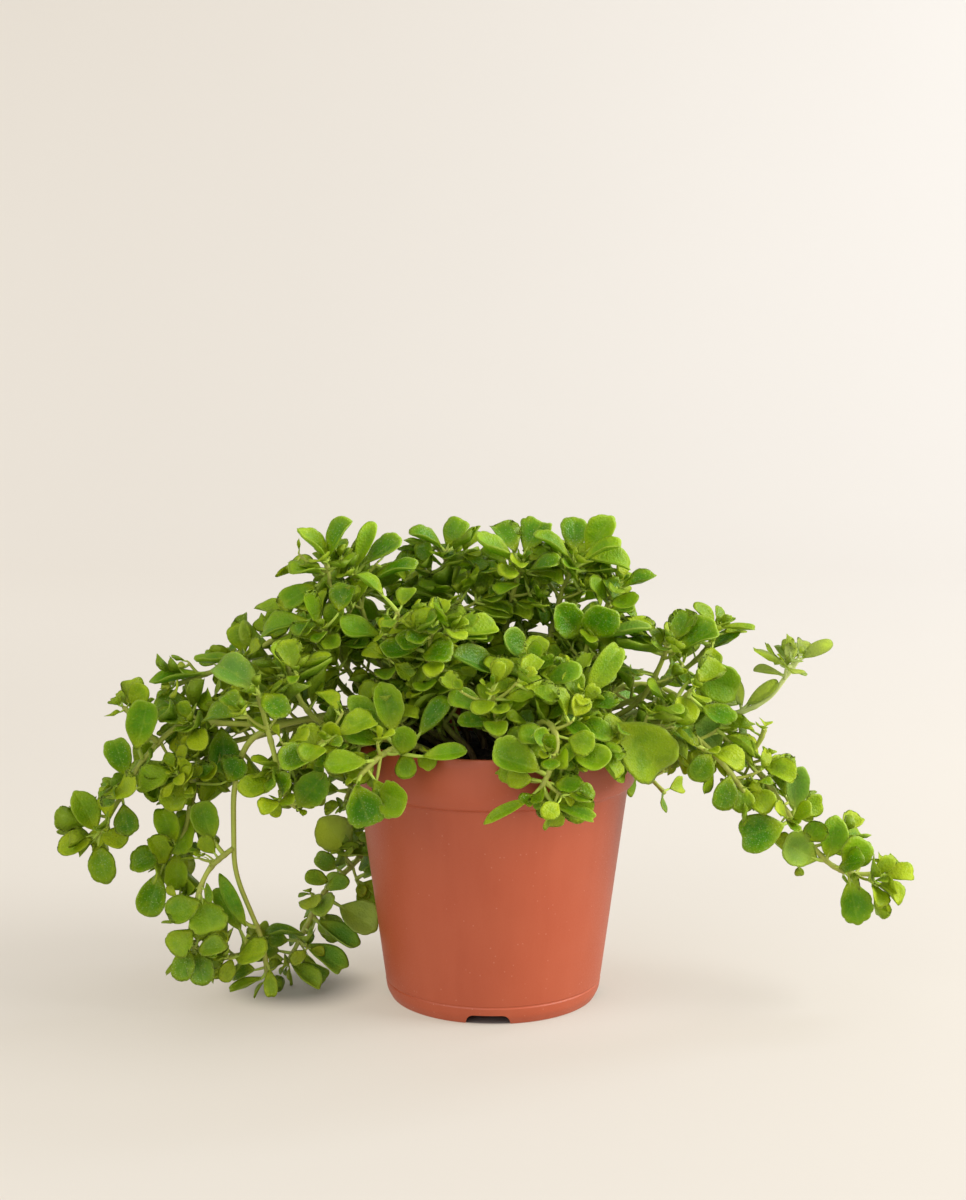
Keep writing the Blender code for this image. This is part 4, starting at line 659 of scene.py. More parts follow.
def pot_profile():
    """Half section of the pot: up its inside, over the rim and down its outside to the foot."""
    band_low = POT_HEIGHT - RIM_BAND_HEIGHT
    foot_inner = FOOT_RADIUS - FOOT_WIDTH
    return [
        (0, FLOOR_HEIGHT + WALL), (BODY_RADIUS_LOW - WALL - FLOOR_BEND, FLOOR_HEIGHT + WALL),
        (BODY_RADIUS_LOW - WALL, BODY_LOW_HEIGHT), (BODY_RADIUS_TOP - WALL, band_low - WALL),
        (RIM_RADIUS - RIM_STEP - WALL, band_low + 1.5), (RIM_RADIUS - 0.6 - WALL, POT_HEIGHT),
        (RIM_RADIUS - 0.5, POT_HEIGHT), (RIM_RADIUS, POT_HEIGHT - 2.5),
        (RIM_RADIUS - 0.2, band_low + 5), (RIM_RADIUS - 1.5, band_low + 0.8),
        (BODY_RADIUS_TOP, band_low), (BODY_RADIUS_LOW, BODY_LOW_HEIGHT),
        (BODY_RADIUS_LOW - 1.2, 3.0), (FOOT_RADIUS, 0), (foot_inner, 0),
        (foot_inner, FLOOR_HEIGHT), (0, FLOOR_HEIGHT),
    ]


def pot_wall_tree():
    """A search tree for the pot's surface, worked out from its half section."""
    turns = np.linspace(0, math.tau, WALL_TREE_STEPS, endpoint=False)
    points = [(r * math.cos(turn), r * math.sin(turn), z) for turn in turns for r, z in pot_profile()]
    count = len(pot_profile())
    faces = []
    for i in range(WALL_TREE_STEPS):
        here, there = i * count, (i + 1) % WALL_TREE_STEPS * count
        faces += [(here + k, here + k + 1, there + k + 1, there + k) for k in range(count - 1)]
    return Shape(np.array(points), faces).tree


def shoot_radii(route, first, last):
    """Stem radius at each point of a route, thinning evenly towards the tip."""
    lengths = arc_lengths(route)
    return first + (last - first) * lengths / lengths[-1]


class Shape:
    """A shape's points, a search tree for its faces, and the middle and reach of a ball round it."""

    def __init__(self, points, faces):
        self.points = points
        self.tree = BVHTree.FromPolygons(points.tolist(), faces)
        self.middle = points.mean(axis=0)
        self.reach = np.linalg.norm(points - self.middle, axis=1).max()


class Stem:
    """A shoot's centre line with its radii, and the spray that it belongs to."""

    def __init__(self, spray, shoot, route, first_radius, collar):
        self.spray = spray
        self.shoot = shoot
        self.route = route
        self.collar = collar
        self.radii = shoot_radii(route, first_radius, STEM_TIP_RADIUS)
        self.fixed = route[:, 2] < SOIL_EDGE_HEIGHT + FIXED_RISE

    def push(self, at, shift):
        """Moves the stem near one of its points, less and less further from it."""
        steps = np.arange(len(self.route)) - at
        weight = np.exp(-(steps / PUSH_REACH) ** 2)
        weight[self.fixed & (np.hypot(*self.route[:, :2].T) < FOOT_RADIUS)] = 0
        self.route += weight[:, None] * shift

    def straighten(self):
        """Replaces the route by straight runs between the few corners that stay within a sag of it."""
        keep = sorted({0, self.collar, len(self.route) - 1})
        spans = list(zip(keep, keep[1:]))
        while spans:
            start, stop = spans.pop()
            chord = unit(self.route[stop] - self.route[start])
            away = self.route[start:stop + 1] - self.route[start]
            sag = np.linalg.norm(away - np.outer(away @ chord, chord), axis=1)
            middle = start + int(sag.argmax())
            if sag.max() > STEM_SAG:
                keep.append(middle)
                spans += [(start, middle), (middle, stop)]
        keep.sort()
        self.corners = self.route[keep]
        self.corner_radii = self.radii[keep]
        places = np.interp(np.arange(len(self.route)), keep, arc_lengths(self.corners))
        self.route = read_route(self.corners, places)

    def frame(self, place):
        """The point and the direction at a distance along the stem."""
        near = (place, place + FRAME_REACH, place - FRAME_REACH)
        point, ahead, behind = read_route(self.route, near)
        return point, unit(ahead - behind)

    def span(self, above):
        """Where the stem first stands higher than the rim by an amount, and its length."""
        lengths = arc_lengths(self.route)
        return lengths[(self.route[:, 2] > POT_HEIGHT + above).argmax()], lengths[-1]

    def leaf_length(self, share):
        """The length of its leaves at a share of the way from the oldest to the youngest."""
        return self.shoot.old + (self.shoot.young - self.shoot.old) * share


def make_stems():
    """Every shoot's centre line: the first of a spray rises from its hole in the soil."""
    stems = []
    for name, spray in SPRAYS.items():
        x, y = spray.root
        foot = soil_height(x, y)
        rise = [(x, y, foot - ROOT_DEPTH), (x, y, foot - COLLAR_RISE), (x, y, foot + COLLAR_RISE)]
        collar = round((ROOT_DEPTH + COLLAR_RISE) / ROUTE_STEP)
        for i, shoot in enumerate(spray.shoots):
            if i:
                route = smooth_route(shoot.route, ROUTE_STEP)
                stems.append(Stem(name, shoot, route, SIDE_SHOOT_RADIUS, 0))
            else:
                route = smooth_route(rise + shoot.route, ROUTE_STEP)
                stems.append(Stem(name, shoot, route, STEM_RADIUS, collar))
    return stems


def spread_stems(stems, pot_tree):
    """Bends stems of different sprays clear of each other and of the pot."""
    for _ in range(SPREAD_ROUNDS):
        crossings = 0
        for i, first in enumerate(stems):
            for second in stems[i + 1:]:
                if first.spray != second.spray:
                    crossings += part_stems(first, second)
        for stem in stems:
            crossings += clear_of_pot(stem, pot_tree)
        if not crossings:
            break
    for i, stem in enumerate(stems):
        main = next(other for other in stems if other.spray == stem.spray)
        if stem is not main:
            nearest = np.linalg.norm(main.route - stem.route[0], axis=1).argmin()
            fade = np.linspace(1, 0, len(stem.route))[:, None]
            stem.route += (main.route[nearest] - stem.route[0]) * fade
    for stem in stems:
        stem.straighten()


def part_stems(first, second):
    """Pushes two stems apart where they are closest. It returns 1 if they had to move."""
    apart = first.route[:, None] - second.route[None]
    distance = np.linalg.norm(apart, axis=2)
    room = distance - first.radii[:, None] - second.radii[None] - 2 * CLEAR - STEM_SAG
    i, j = np.unravel_index(room.argmin(), room.shape)
    if room[i, j] >= 0:
        return 0
    way = apart[i, j] / max(distance[i, j], 0.01) + np.array(STEM_NUDGE)
    push = unit(way) * (SPREAD_STEP - room[i, j]) / 2
    first.push(i, push)
    second.push(j, -push)
    return 1


def clear_of_pot(stem, pot_tree):
    """Pushes a stem off the pot's wall where it is too close. It returns 1 if it had to move."""
    for i, point in enumerate(stem.route):
        place, normal, _, distance = pot_tree.find_nearest(Vector(point))
        outward = np.array(normal)
        side = np.dot(point - np.array(place), outward)
        short = stem.radii[i] + 2 * CLEAR + STEM_SAG - (distance if side > 0 else -distance)
        if short > 0 and point[2] > FLOOR_HEIGHT:
            stem.push(i, outward * (short + SPREAD_STEP / 2))
            return 1
    return 0


def tooth_angles(teeth):
    """Where a half outline's notches and tooth tips lie, from the side of the blade to its tip."""
    spacing = (math.pi - TOOTHED_FROM) / (teeth / 2)
    return TOOTHED_FROM + np.arange(teeth + 1) / 2 * spacing


def half_outline(leaf, teeth):
    """Half a blade from its side to its tip: obovate, with rounded teeth.

    At an angle that runs from 0 at the base to half a turn at the tip, the outline stands at
    length * ((1 - cos) / 2) ** 0.85 and is width * sin * (1 - 0.45 * cos) / 1.084 wide.
    """
    points = []
    centre = TOOTH_CENTRE * leaf.length
    for i, angle in enumerate(tooth_angles(teeth)):
        x = leaf.length * ((1 - math.cos(angle)) / 2) ** 0.85
        y = leaf.width / 2 * math.sin(angle) * (1 - 0.45 * math.cos(angle)) / 1.084
        grow = (TOOTH_TIP if i % 2 else TOOTH_NOTCH) if i else 1
        points.append((centre + (x - centre) * grow, y * grow))
    points[-1] = (points[-1][0], 0)
    return points


def teeth_of(leaf):
    """Large leaves have five teeth and middling ones three. Young ones have a plain blunt tip."""
    if leaf.length > FIVE_TEETH_LENGTH:
        return 5
    return 3 if leaf.length > THREE_TEETH_LENGTH else 0


def blunt_outline(leaf):
    """Half a young blade: its widest point and the corner of its blunt tip."""
    return [(BLUNT_WIDEST * leaf.length, leaf.width / 2), (BLUNT_TIP * leaf.length, leaf.width / 4)]


def leaf_surface(leaf, grow=0.0):
    """Points, triangles and rim of a leaf's middle surface: a cupped blade that narrows to its root.

    The blade's far half is a fan round its middle or its middle tooth, and its near half a wedge. A
    short petiole is the wedge drawn out to a point inside the stem. A long one is a narrow strip.
    """
    teeth = teeth_of(leaf)
    half = half_outline(leaf, teeth) if teeth else blunt_outline(leaf)
    half = [(x + grow * x / leaf.length, y and y + grow) for x, y in half]
    flat = half + [(x, -y) for x, y in half[::-1] if y]
    ring = list(range(len(flat)))
    hub = len(half) - 1 if teeth else 0
    if teeth > 3:
        hub = len(flat)
        flat.append((BLADE_MIDDLE * leaf.length, 0))
    faces = [(hub, b, a) for a, b in zip(ring, ring[1:] + ring[:1]) if hub not in (a, b)]
    side = np.cross(leaf.normal, leaf.along)
    points = []
    for x, y in flat:
        cup = CUP * (y / leaf.width) ** 2 * leaf.width
        bend = leaf.curl * (x / leaf.length) ** 2 * leaf.length
        points.append(leaf.base + x * leaf.along + y * side + (cup + bend) * leaf.normal)
    first = len(flat)
    stalk = leaf.base - leaf.start
    if np.linalg.norm(stalk) <= SHORT_PETIOLE:
        points.append(leaf.start)
        faces.append((first, ring[-1], 0))
        return np.array(points), faces, ring + [first]
    wide = PETIOLE_WIDTH / 2 + grow
    stalk_side = across(side if abs(np.dot(side, unit(stalk))) < 0.9 else leaf.normal, stalk)
    points += [leaf.base + wide * side, leaf.base - wide * side]
    points += [leaf.start + wide * stalk_side, leaf.start - wide * stalk_side]
    faces += [(first, ring[-1], 0), (first, first + 1, ring[-1])]
    faces += [(first + 2, first + 1, first), (first + 2, first + 3, first + 1)]
    return np.array(points), faces, ring + [first + 1, first + 3, first + 2, first]


def leaf_shell(leaf, grow):
    """A leaf's closed shape, grown by a margin."""
    return closed_shell(*leaf_surface(leaf, grow), leaf.normal * (BLADE_THICKNESS / 2 + grow))


def blade_shell(leaf):
    """A leaf's closed blade without its petiole."""
    start = leaf.base + BLADE_START * leaf.length * leaf.along
    points, faces, rim = leaf_surface(leaf._replace(start=start))
    return closed_shell(points, faces, rim, leaf.normal * BLADE_THICKNESS / 2)


def closed_shell(points, faces, rim, lift):
    """The closed shape of a leaf surface: the surface lifted above and below, and its rim."""
    count = len(points)
    shell = list(faces) + [tuple(i + count for i in face[::-1]) for face in faces]
    for start, stop in zip(rim, rim[1:] + rim[:1]):
        shell += [(start, stop, stop + count), (start, stop + count, start + count)]
    return Shape(np.vstack([points + lift, points - lift]), shell)


class Pile:
    """Closed shapes, each with its spray, that finds the few that another shape may cross."""

    def __init__(self):
        self.sprays = []
        self.trees = []
        self.balls = np.zeros((MOST_SHAPES, 4))

    def add(self, spray, shape):
        """Adds a spray's shape."""
        self.balls[len(self.trees)] = (*shape.middle, shape.reach)
        self.sprays.append(spray)
        self.trees.append(shape.tree)

    def is_met(self, shape, wanted):
        """Whether a shape crosses any shape here whose spray is wanted."""
        balls = self.balls[:len(self.trees)]
        near = np.linalg.norm(balls[:, :3] - shape.middle, axis=1) < shape.reach + balls[:, 3]
        return any(wanted(self.sprays[i]) and shape.tree.overlap(self.trees[i])
                   for i in near.nonzero()[0])


class Crowd:
    """What is already placed, to keep each new leaf clear of every other spray, pot and soil."""

    def __init__(self, pot_tree):
        self.pot_tree = pot_tree
        self.pieces = Pile()
        self.blades = Pile()

    def add_leaf(self, spray, leaf):
        """Adds a leaf. Its own spray's leaves keep clear of its blade, but not of its petiole."""
        self.pieces.add(spray, leaf_shell(leaf, 0.0))
        self.blades.add(spray, blade_shell(leaf))

    def is_clear(self, spray, leaf, margin=CLEAR):
        """Whether a leaf, grown by a margin, is clear of all that it has to keep clear of."""
        grown = leaf_shell(leaf, margin)
        low = grown.points[:, 2].min()
        in_pot = (np.hypot(*grown.points[:, :2].T) < RIM_RADIUS).all()
        if low < CLEAR or (in_pot and low < SOIL_EDGE_HEIGHT + SOIL_CROWN + 1):
            return False
        if grown.tree.overlap(self.pot_tree) or self.pieces.is_met(grown, lambda other: other != spray):
            return False
        return not self.blades.is_met(blade_shell(leaf), lambda other: other == spray)

    def shoot_is_clear(self, shoot):
        """Whether a small side shoot is clear of the pot, of other sprays and of all blades."""
        shape = stem_shell(shoot)
        if shape.points[:, 2].min() < SOIL_EDGE_HEIGHT and np.hypot(*shape.middle[:2]) < RIM_RADIUS:
            return False
        if shape.tree.overlap(self.pot_tree) or self.blades.is_met(shape, lambda other: True):
            return False
        return not self.pieces.is_met(shape, lambda other: other != shoot.spray)

    def place(self, spray, choices):
        """Adds the first of the choices that is clear of everything, and returns it."""
        for leaf in choices:
            if self.is_clear(spray, leaf):
                self.add_leaf(spray, leaf)
                return leaf
        return None


def stem_shell(stem):
    """A six-sided tube round a stem's centre line."""
    route, radii = stem.corners, stem.corner_radii
    points = []
    faces = []
    for i, (point, radius) in enumerate(zip(route, radii)):
        ahead = unit(route[min(i + 1, len(route) - 1)] - route[max(i - 1, 0)])
        side = across((0.3, 1, 0.2), ahead)
        up = np.cross(ahead, side)
        for turn in np.arange(6) * math.pi / 3:
            points.append(point + radius * (math.cos(turn) * side + math.sin(turn) * up))
    for i in range(len(route) - 1):
        for k in range(6):
            a, b = 6 * i + k, 6 * i + (k + 1) % 6
            faces += [(a, b, b + 6), (a, b + 6, a + 6)]
    return Shape(np.array(points), faces)


def large_leaf_choices(large, stems):
    """A large leaf as chosen, then moved or turned a little further each time."""
    base = np.array(large.base, float)
    tip = np.array(large.tip, float)
    for shift, turn, size in LARGE_TRIES:
        start = base + shift
        along = unit(tip - base)
        length = np.linalg.norm(tip - base) * size
        normal = across(np.array(large.faces), along)
        side = np.cross(normal, along)
        normal = unit(normal * math.cos(turn) + side * math.sin(turn))
        foot = foot_on_stem(start, along, stems)
        yield Leaf(foot, start, along, normal, length, large.width * size, -LEAF_CURL)


def foot_on_stem(base, along, stems):
    """The point inside a spray's stems that a leaf grows from: near its base, and behind it.

    Of the points that aren't too low, it has the least distance + FOOT_BEHIND * (1 - cosine of the
    angle between the leaf and the way to its base).
    """
    points = np.vstack([stem.route[:-1] for stem in stems])
    points = points[points[:, 2] > FOOT_LOWEST]
    away = base - points
    distance = np.linalg.norm(away, axis=1)
    aligned = (away @ along) / np.maximum(distance, 0.5)
    return points[(distance + FOOT_BEHIND * (1 - aligned)).argmin()]


def way_about(ahead, angle):
    """The way that is square to a stem's direction, at an angle about it."""
    side = across(STEM_LEAN, ahead)
    return math.cos(angle) * side + math.sin(angle) * np.cross(ahead, side)


def pair_leaf(stem, place, turn, length, lift, draw):
    """Choices for one leaf of a pair that stands at a place on a stem, turned about it."""
    point, ahead = stem.frame(place)
    outward = unit((point[0], point[1], 0.0))
    roll = draw.uniform(-PAIR_ROLL, PAIR_ROLL)
    width = length * draw.uniform(*PAIR_WIDTHS)
    for twist, extra, size in PAIR_TRIES:
        radial = way_about(ahead, turn + roll + twist)
        slope = lift + extra
        along = unit(math.cos(slope) * radial + math.sin(slope) * ahead)
        face = unit(FACE_AHEAD * ahead + np.array([0, 0, FACE_UP]) + FACE_OUTWARD * outward)
        normal = across(face, along)
        stalk = stem.radii[0] + PAIR_STALK * length * size
        base = point + stalk * along
        curl = LEAF_CURL if lift > UPRIGHT_LIFT else -LEAF_CURL
        yield Leaf(point, base, along, normal, length * size, width * size, curl)


def rosette_rings(shoot):
    """The pairs of a tip rosette: how far behind the tip, how long, and how far up they lean."""
    return [(behind, share * shoot.young, lift) for behind, share, lift in ROSETTE_RINGS[:shoot.rosette]]


def place_leaves(stems, crowd):
    """Every leaf of every spray: the large ones, then tip rosettes, then the pairs below them."""
    leaves = {name: [] for name in SPRAYS}
    for name, spray in SPRAYS.items():
        own = [stem for stem in stems if stem.spray == name]
        for large in spray.large:
            leaves[name].append(crowd.place(name, large_leaf_choices(large, own)))
    for stem in stems:
        length = arc_lengths(stem.route)[-1]
        for ring, (behind, size, lift) in enumerate(rosette_rings(stem.shoot)):
            for turn in (0, math.pi):
                draw = random.Random(f"{stem.spray} {stem.shoot.route[-1]} {ring} {turn:.1f} {LEAF_SEED}")
                turn += ring * math.pi / 2
                choices = pair_leaf(stem, length - behind, turn, size, lift, draw)
                leaves[stem.spray].append(crowd.place(stem.spray, choices))
    for stem in stems:
        start, end = stem.span(PAIRS_ABOVE_RIM)
        for i in range(stem.shoot.pairs):
            share = (i + 1) / (stem.shoot.pairs + 1)
            place = start + (end - start) * share
            size = stem.leaf_length(share)
            for turn in (0, math.pi):
                draw = random.Random(f"{stem.spray} pair {i} {turn:.1f} {LEAF_SEED}")
                turn += (stem.shoot.pairs - i + 1) * math.pi / 2 + PAIR_TURN
                choices = pair_leaf(stem, place, turn, size, PAIR_LIFT, draw)
                leaves[stem.spray].append(crowd.place(stem.spray, choices))
    return {name: [leaf for leaf in found if leaf] for name, found in leaves.items()}


def photo_place(point):
    """Where a point stands in the photograph, across and down in its pixels, and how deep it lies."""
    away = point - EYE
    depth = away[1] * math.cos(CAMERA_DIP) - away[2] * math.sin(CAMERA_DIP)
    up = away[1] * math.sin(CAMERA_DIP) + away[2] * math.cos(CAMERA_DIP)
    return PHOTO_MIDDLE + PHOTO_FOCAL / depth * np.array([away[0], -up]), depth


def leaf_place(leaf):
    """Where a leaf's middle stands in the photograph, its length there, and how deep it lies."""
    place, depth = photo_place(leaf.base + BLADE_MIDDLE * leaf.length * leaf.along)
    return place, PHOTO_FOCAL * leaf.length / depth, depth


def is_in_opening(place, reach):
    """Whether something of a reach about a place in the photograph would stand in an opening."""
    return (np.linalg.norm(OPENINGS[:, :2] - place, axis=1) < OPENINGS[:, 2] + reach).any()


def is_in_mound(stem):
    """Whether a stem ends over the pot or close round it."""
    return np.hypot(*stem.route[-1, :2]) < RIM_RADIUS + MOUND_MARGIN


def is_bare(stem):
    """Whether it is the main stem of a trail that carries no more leaves than the planned ones."""
    return stem.spray in BARE_TRAILS and stem.shoot is SPRAYS[stem.spray].shoots[0]


class Growth:
    """The leaves and small side shoots that the solids leave out, grown over the planned ones."""

    def __init__(self, stems, crowd, leaves):
        self.crowd = crowd
        self.leaves = {name: [] for name in SPRAYS}
        self.shoots = []
        self.views = []
        for name, spray in SPRAYS.items():
            for leaf in leaves[name][:len(spray.large)]:
                if leaf.length > KEPT_LENGTH:
                    place, size, depth = leaf_place(leaf)
                    self.views.append((*place, KEPT_SHARE * size, depth))
        self.views = np.array(self.views)
        self.grow_tips(stems)
        self.grow_shoots(stems)
        self.grow_pairs(stems)

    def keeps_view(self, leaf):
        """Whether a leaf leaves the openings free and the chosen large leaves open to the front."""
        place, size, depth = leaf_place(leaf)
        apart = np.linalg.norm(self.views[:, :2] - place, axis=1)
        hidden = (apart < self.views[:, 2] + VIEW_SHARE * size) & (self.views[:, 3] > depth)
        return not hidden.any() and not is_in_opening(place, OPENING_SHARE * size)

    def grow(self, stem, place, turn, size, lift, stalk, key):
        """Adds one leaf to a stem where it finds room, and returns whether it did.

        Its stalk is the stem's radius and a share of the leaf's length.
        """
        draw = random.Random(f"{stem.spray} {np.round(stem.route[-1])} {key} {LEAF_SEED}")
        size *= draw.uniform(*FILL_SIZES)
        for leaf in itertools.islice(pair_leaf(stem, place, turn, size, lift, draw), FILL_CHOICES):
            leaf = leaf._replace(base=leaf.start + (stem.radii[0] + stalk * leaf.length) * leaf.along)
            core = leaf._replace(length=FILL_CORE * leaf.length, width=FILL_CORE * leaf.width)
            if self.keeps_view(leaf) and self.crowd.is_clear(stem.spray, core, FILL_CLEAR):
                self.crowd.add_leaf(stem.spray, core)
                self.leaves[stem.spray].append(leaf._replace(curl=draw.uniform(*FILL_CURLS)))
                return True
        return False

    def grow_rings(self, stem, rings, size, key):
        """Grows rings of two leaves round a tip, each ring crossing the one before. It counts them."""
        length = arc_lengths(stem.route)[-1]
        count = 0
        for ring, (behind, share, lift, stalk) in enumerate(rings):
            for half in (0, 1):
                turn = (ring + 1) * math.pi / 2 + half * math.pi + RING_TURN * ring
                count += self.grow(stem, length - behind, turn, share * size, lift, stalk,
                                   f"{key} {ring} {half}")
        return count

    def grow_tips(self, stems):
        """Adds the inner leaves of each tip rosette and one more ring below it."""
        for stem in stems:
            self.grow_rings(stem, TIP_RINGS, stem.shoot.young, "tip")

    def grow_shoots(self, stems):
        """Adds short side shoots with small rosettes, in opposite pairs along each stem."""
        for stem in stems:
            start, end = stem.span(SHOOTS_ABOVE_RIM)
            spacing = MOUND_SHOOT_SPACING if is_in_mound(stem) else TRAIL_SHOOT_SPACING
            count = 0 if is_bare(stem) else round((end - start) / spacing)
            for i in range(count):
                for half in (0, 1):
                    place = start + (end - start) * (i + 0.5) / count
                    draw = random.Random(f"{stem.spray} {np.round(stem.route[-1])} shoot {i} {half}")
                    self.grow_shoot(stem, place, i * math.pi / 2 + half * math.pi, draw)

    def grow_shoot(self, stem, place, turn, draw):
        """Adds one side shoot where it and enough of its leaves find room."""
        point, ahead = stem.frame(place)
        for twist, reach in SHOOT_TRIES:
            radial = way_about(ahead, turn + twist + draw.uniform(-SHOOT_TURN, SHOOT_TURN))
            way = unit(radial + SHOOT_SLOPE * ahead)
            length = reach * draw.uniform(*SHOOT_LENGTHS)
            bend = point + 0.5 * length * way
            tip = bend + 0.5 * length * unit(way + np.array([0, 0, SHOOT_RISE]))
            shoot = Stem(stem.spray, stem.shoot, smooth_route([point, bend, tip], 1.0), SHOOT_RADIUS, 0)
            shoot.radii = shoot_radii(shoot.route, SHOOT_RADIUS, SHOOT_TIP_RADIUS)
            shoot.corners = shoot.route
            shoot.corner_radii = shoot.radii
            if is_in_opening(photo_place(tip)[0], 0) or not self.crowd.shoot_is_clear(shoot):
                continue
            size = draw.uniform(*SHOOT_LEAVES)
            if self.grow_rings(shoot, SHOOT_RINGS, size, "ring") >= FEWEST_SHOOT_LEAVES:
                self.crowd.pieces.add(stem.spray, stem_shell(shoot))
                self.shoots.append(shoot)
                return

    def grow_pairs(self, stems):
        """Adds leaf pairs along each stem where there is still room."""
        for stem in stems:
            start, end = stem.span(FILL_PAIRS_ABOVE_RIM)
            spacing = MOUND_PAIR_SPACING if is_in_mound(stem) else TRAIL_PAIR_SPACING
            spacing = DENSE_TRAILS.get(stem.spray, spacing)
            count = 0 if is_bare(stem) else max(1, round((end - start) / spacing))
            for i in range(count):
                share = (i + FILL_PAIR_SHIFT) / count
                place = start + (end - start) * share
                size = FILL_PAIR_SHARE * stem.leaf_length(share)
                for half in (0, 1):
                    turn = i * math.pi / 2 + half * math.pi + FILL_PAIR_TURN
                    self.grow(stem, place, turn, size, PAIR_LIFT, FILL_PAIR_STALK, f"pair {i} {half}")


def unit_rows(vectors):
    """Each row at length one."""
    return vectors / np.maximum(np.linalg.norm(vectors, axis=-1, keepdims=True), 1e-9)


def gaps(first, second):
    """How far each of the first points lies from each of the second."""
    return np.linalg.norm(first[:, None] - second[None], axis=2)


def fan(middle, start, count):
    """Triangles from a middle to the ring of points that starts at a number."""
    turn = np.arange(count)
    return np.stack([np.full(count, middle), start + (turn + 1) % count, start + turn], axis=1)


def bands(starts, count):
    """Quads between each ring of points and the next."""
    turn = np.arange(count)
    ahead = (turn + 1) % count
    quads = [np.stack([a + turn, a + ahead, b + ahead, b + turn], axis=1)
             for a, b in zip(starts, starts[1:])]
    return np.concatenate(quads + [np.zeros((0, 4), int)])


def outline_angles(teeth, wedge_steps):
    """Outline angles once round a blade: a few up each side of its wedge and four for each tooth."""
    spacing = (math.pi - TOOTHED_FROM) / (teeth / 2)
    wedge = (np.arange(wedge_steps) / wedge_steps) ** 0.8 * TOOTHED_FROM
    lobes = TOOTHED_FROM + np.arange(2 * teeth + 1) / 4 * spacing
    half = np.concatenate([wedge, lobes])
    return np.concatenate([half, math.tau - half[-2:0:-1]])


def blade_outline(teeth, angles, blunt, depth, cut):
    """A blade's outline for each leaf, in shares of its length and of its width.

    A point at an angle stands at ((1 - cos) / 2) ** 0.88 and is sin * (1 - blunt * cos) / 2 wide, less
    a pinch of 0.45 * exp(-(x / 0.15)^2) near the base. Beyond the wedge it is scaled about 0.6 of the
    length by rounded teeth: each adds depth * |sin| ** 0.7 of its own angle and takes half of it off.
    The tip is cut back by cut * x^6 * exp(-(y / 0.2)^2), or drawn out where cut is below nought.
    """
    fold = np.where(angles > math.pi, math.tau - angles, angles)
    side = np.where(angles > math.pi, -1.0, 1.0)
    x = ((1 - np.cos(fold)) / 2) ** 0.88
    y = 0.5 * np.sin(fold) * (1 - blunt * np.cos(fold)) / (1 + 0.5 * blunt ** 2)
    y = y * (1 - 0.45 * np.exp(-(x / 0.15) ** 2))
    lobe = np.maximum(fold - TOOTHED_FROM, 0) / ((math.pi - TOOTHED_FROM) / (teeth / 2))
    scale = 1 + depth * (np.abs(np.sin(math.pi * lobe)) ** 0.7 - 0.5 * np.minimum(lobe, 1))
    x = TOOTH_CENTRE + (x - TOOTH_CENTRE) * scale
    return x - cut * x ** 6 * np.exp(-(y / 0.2) ** 2), side * y * scale


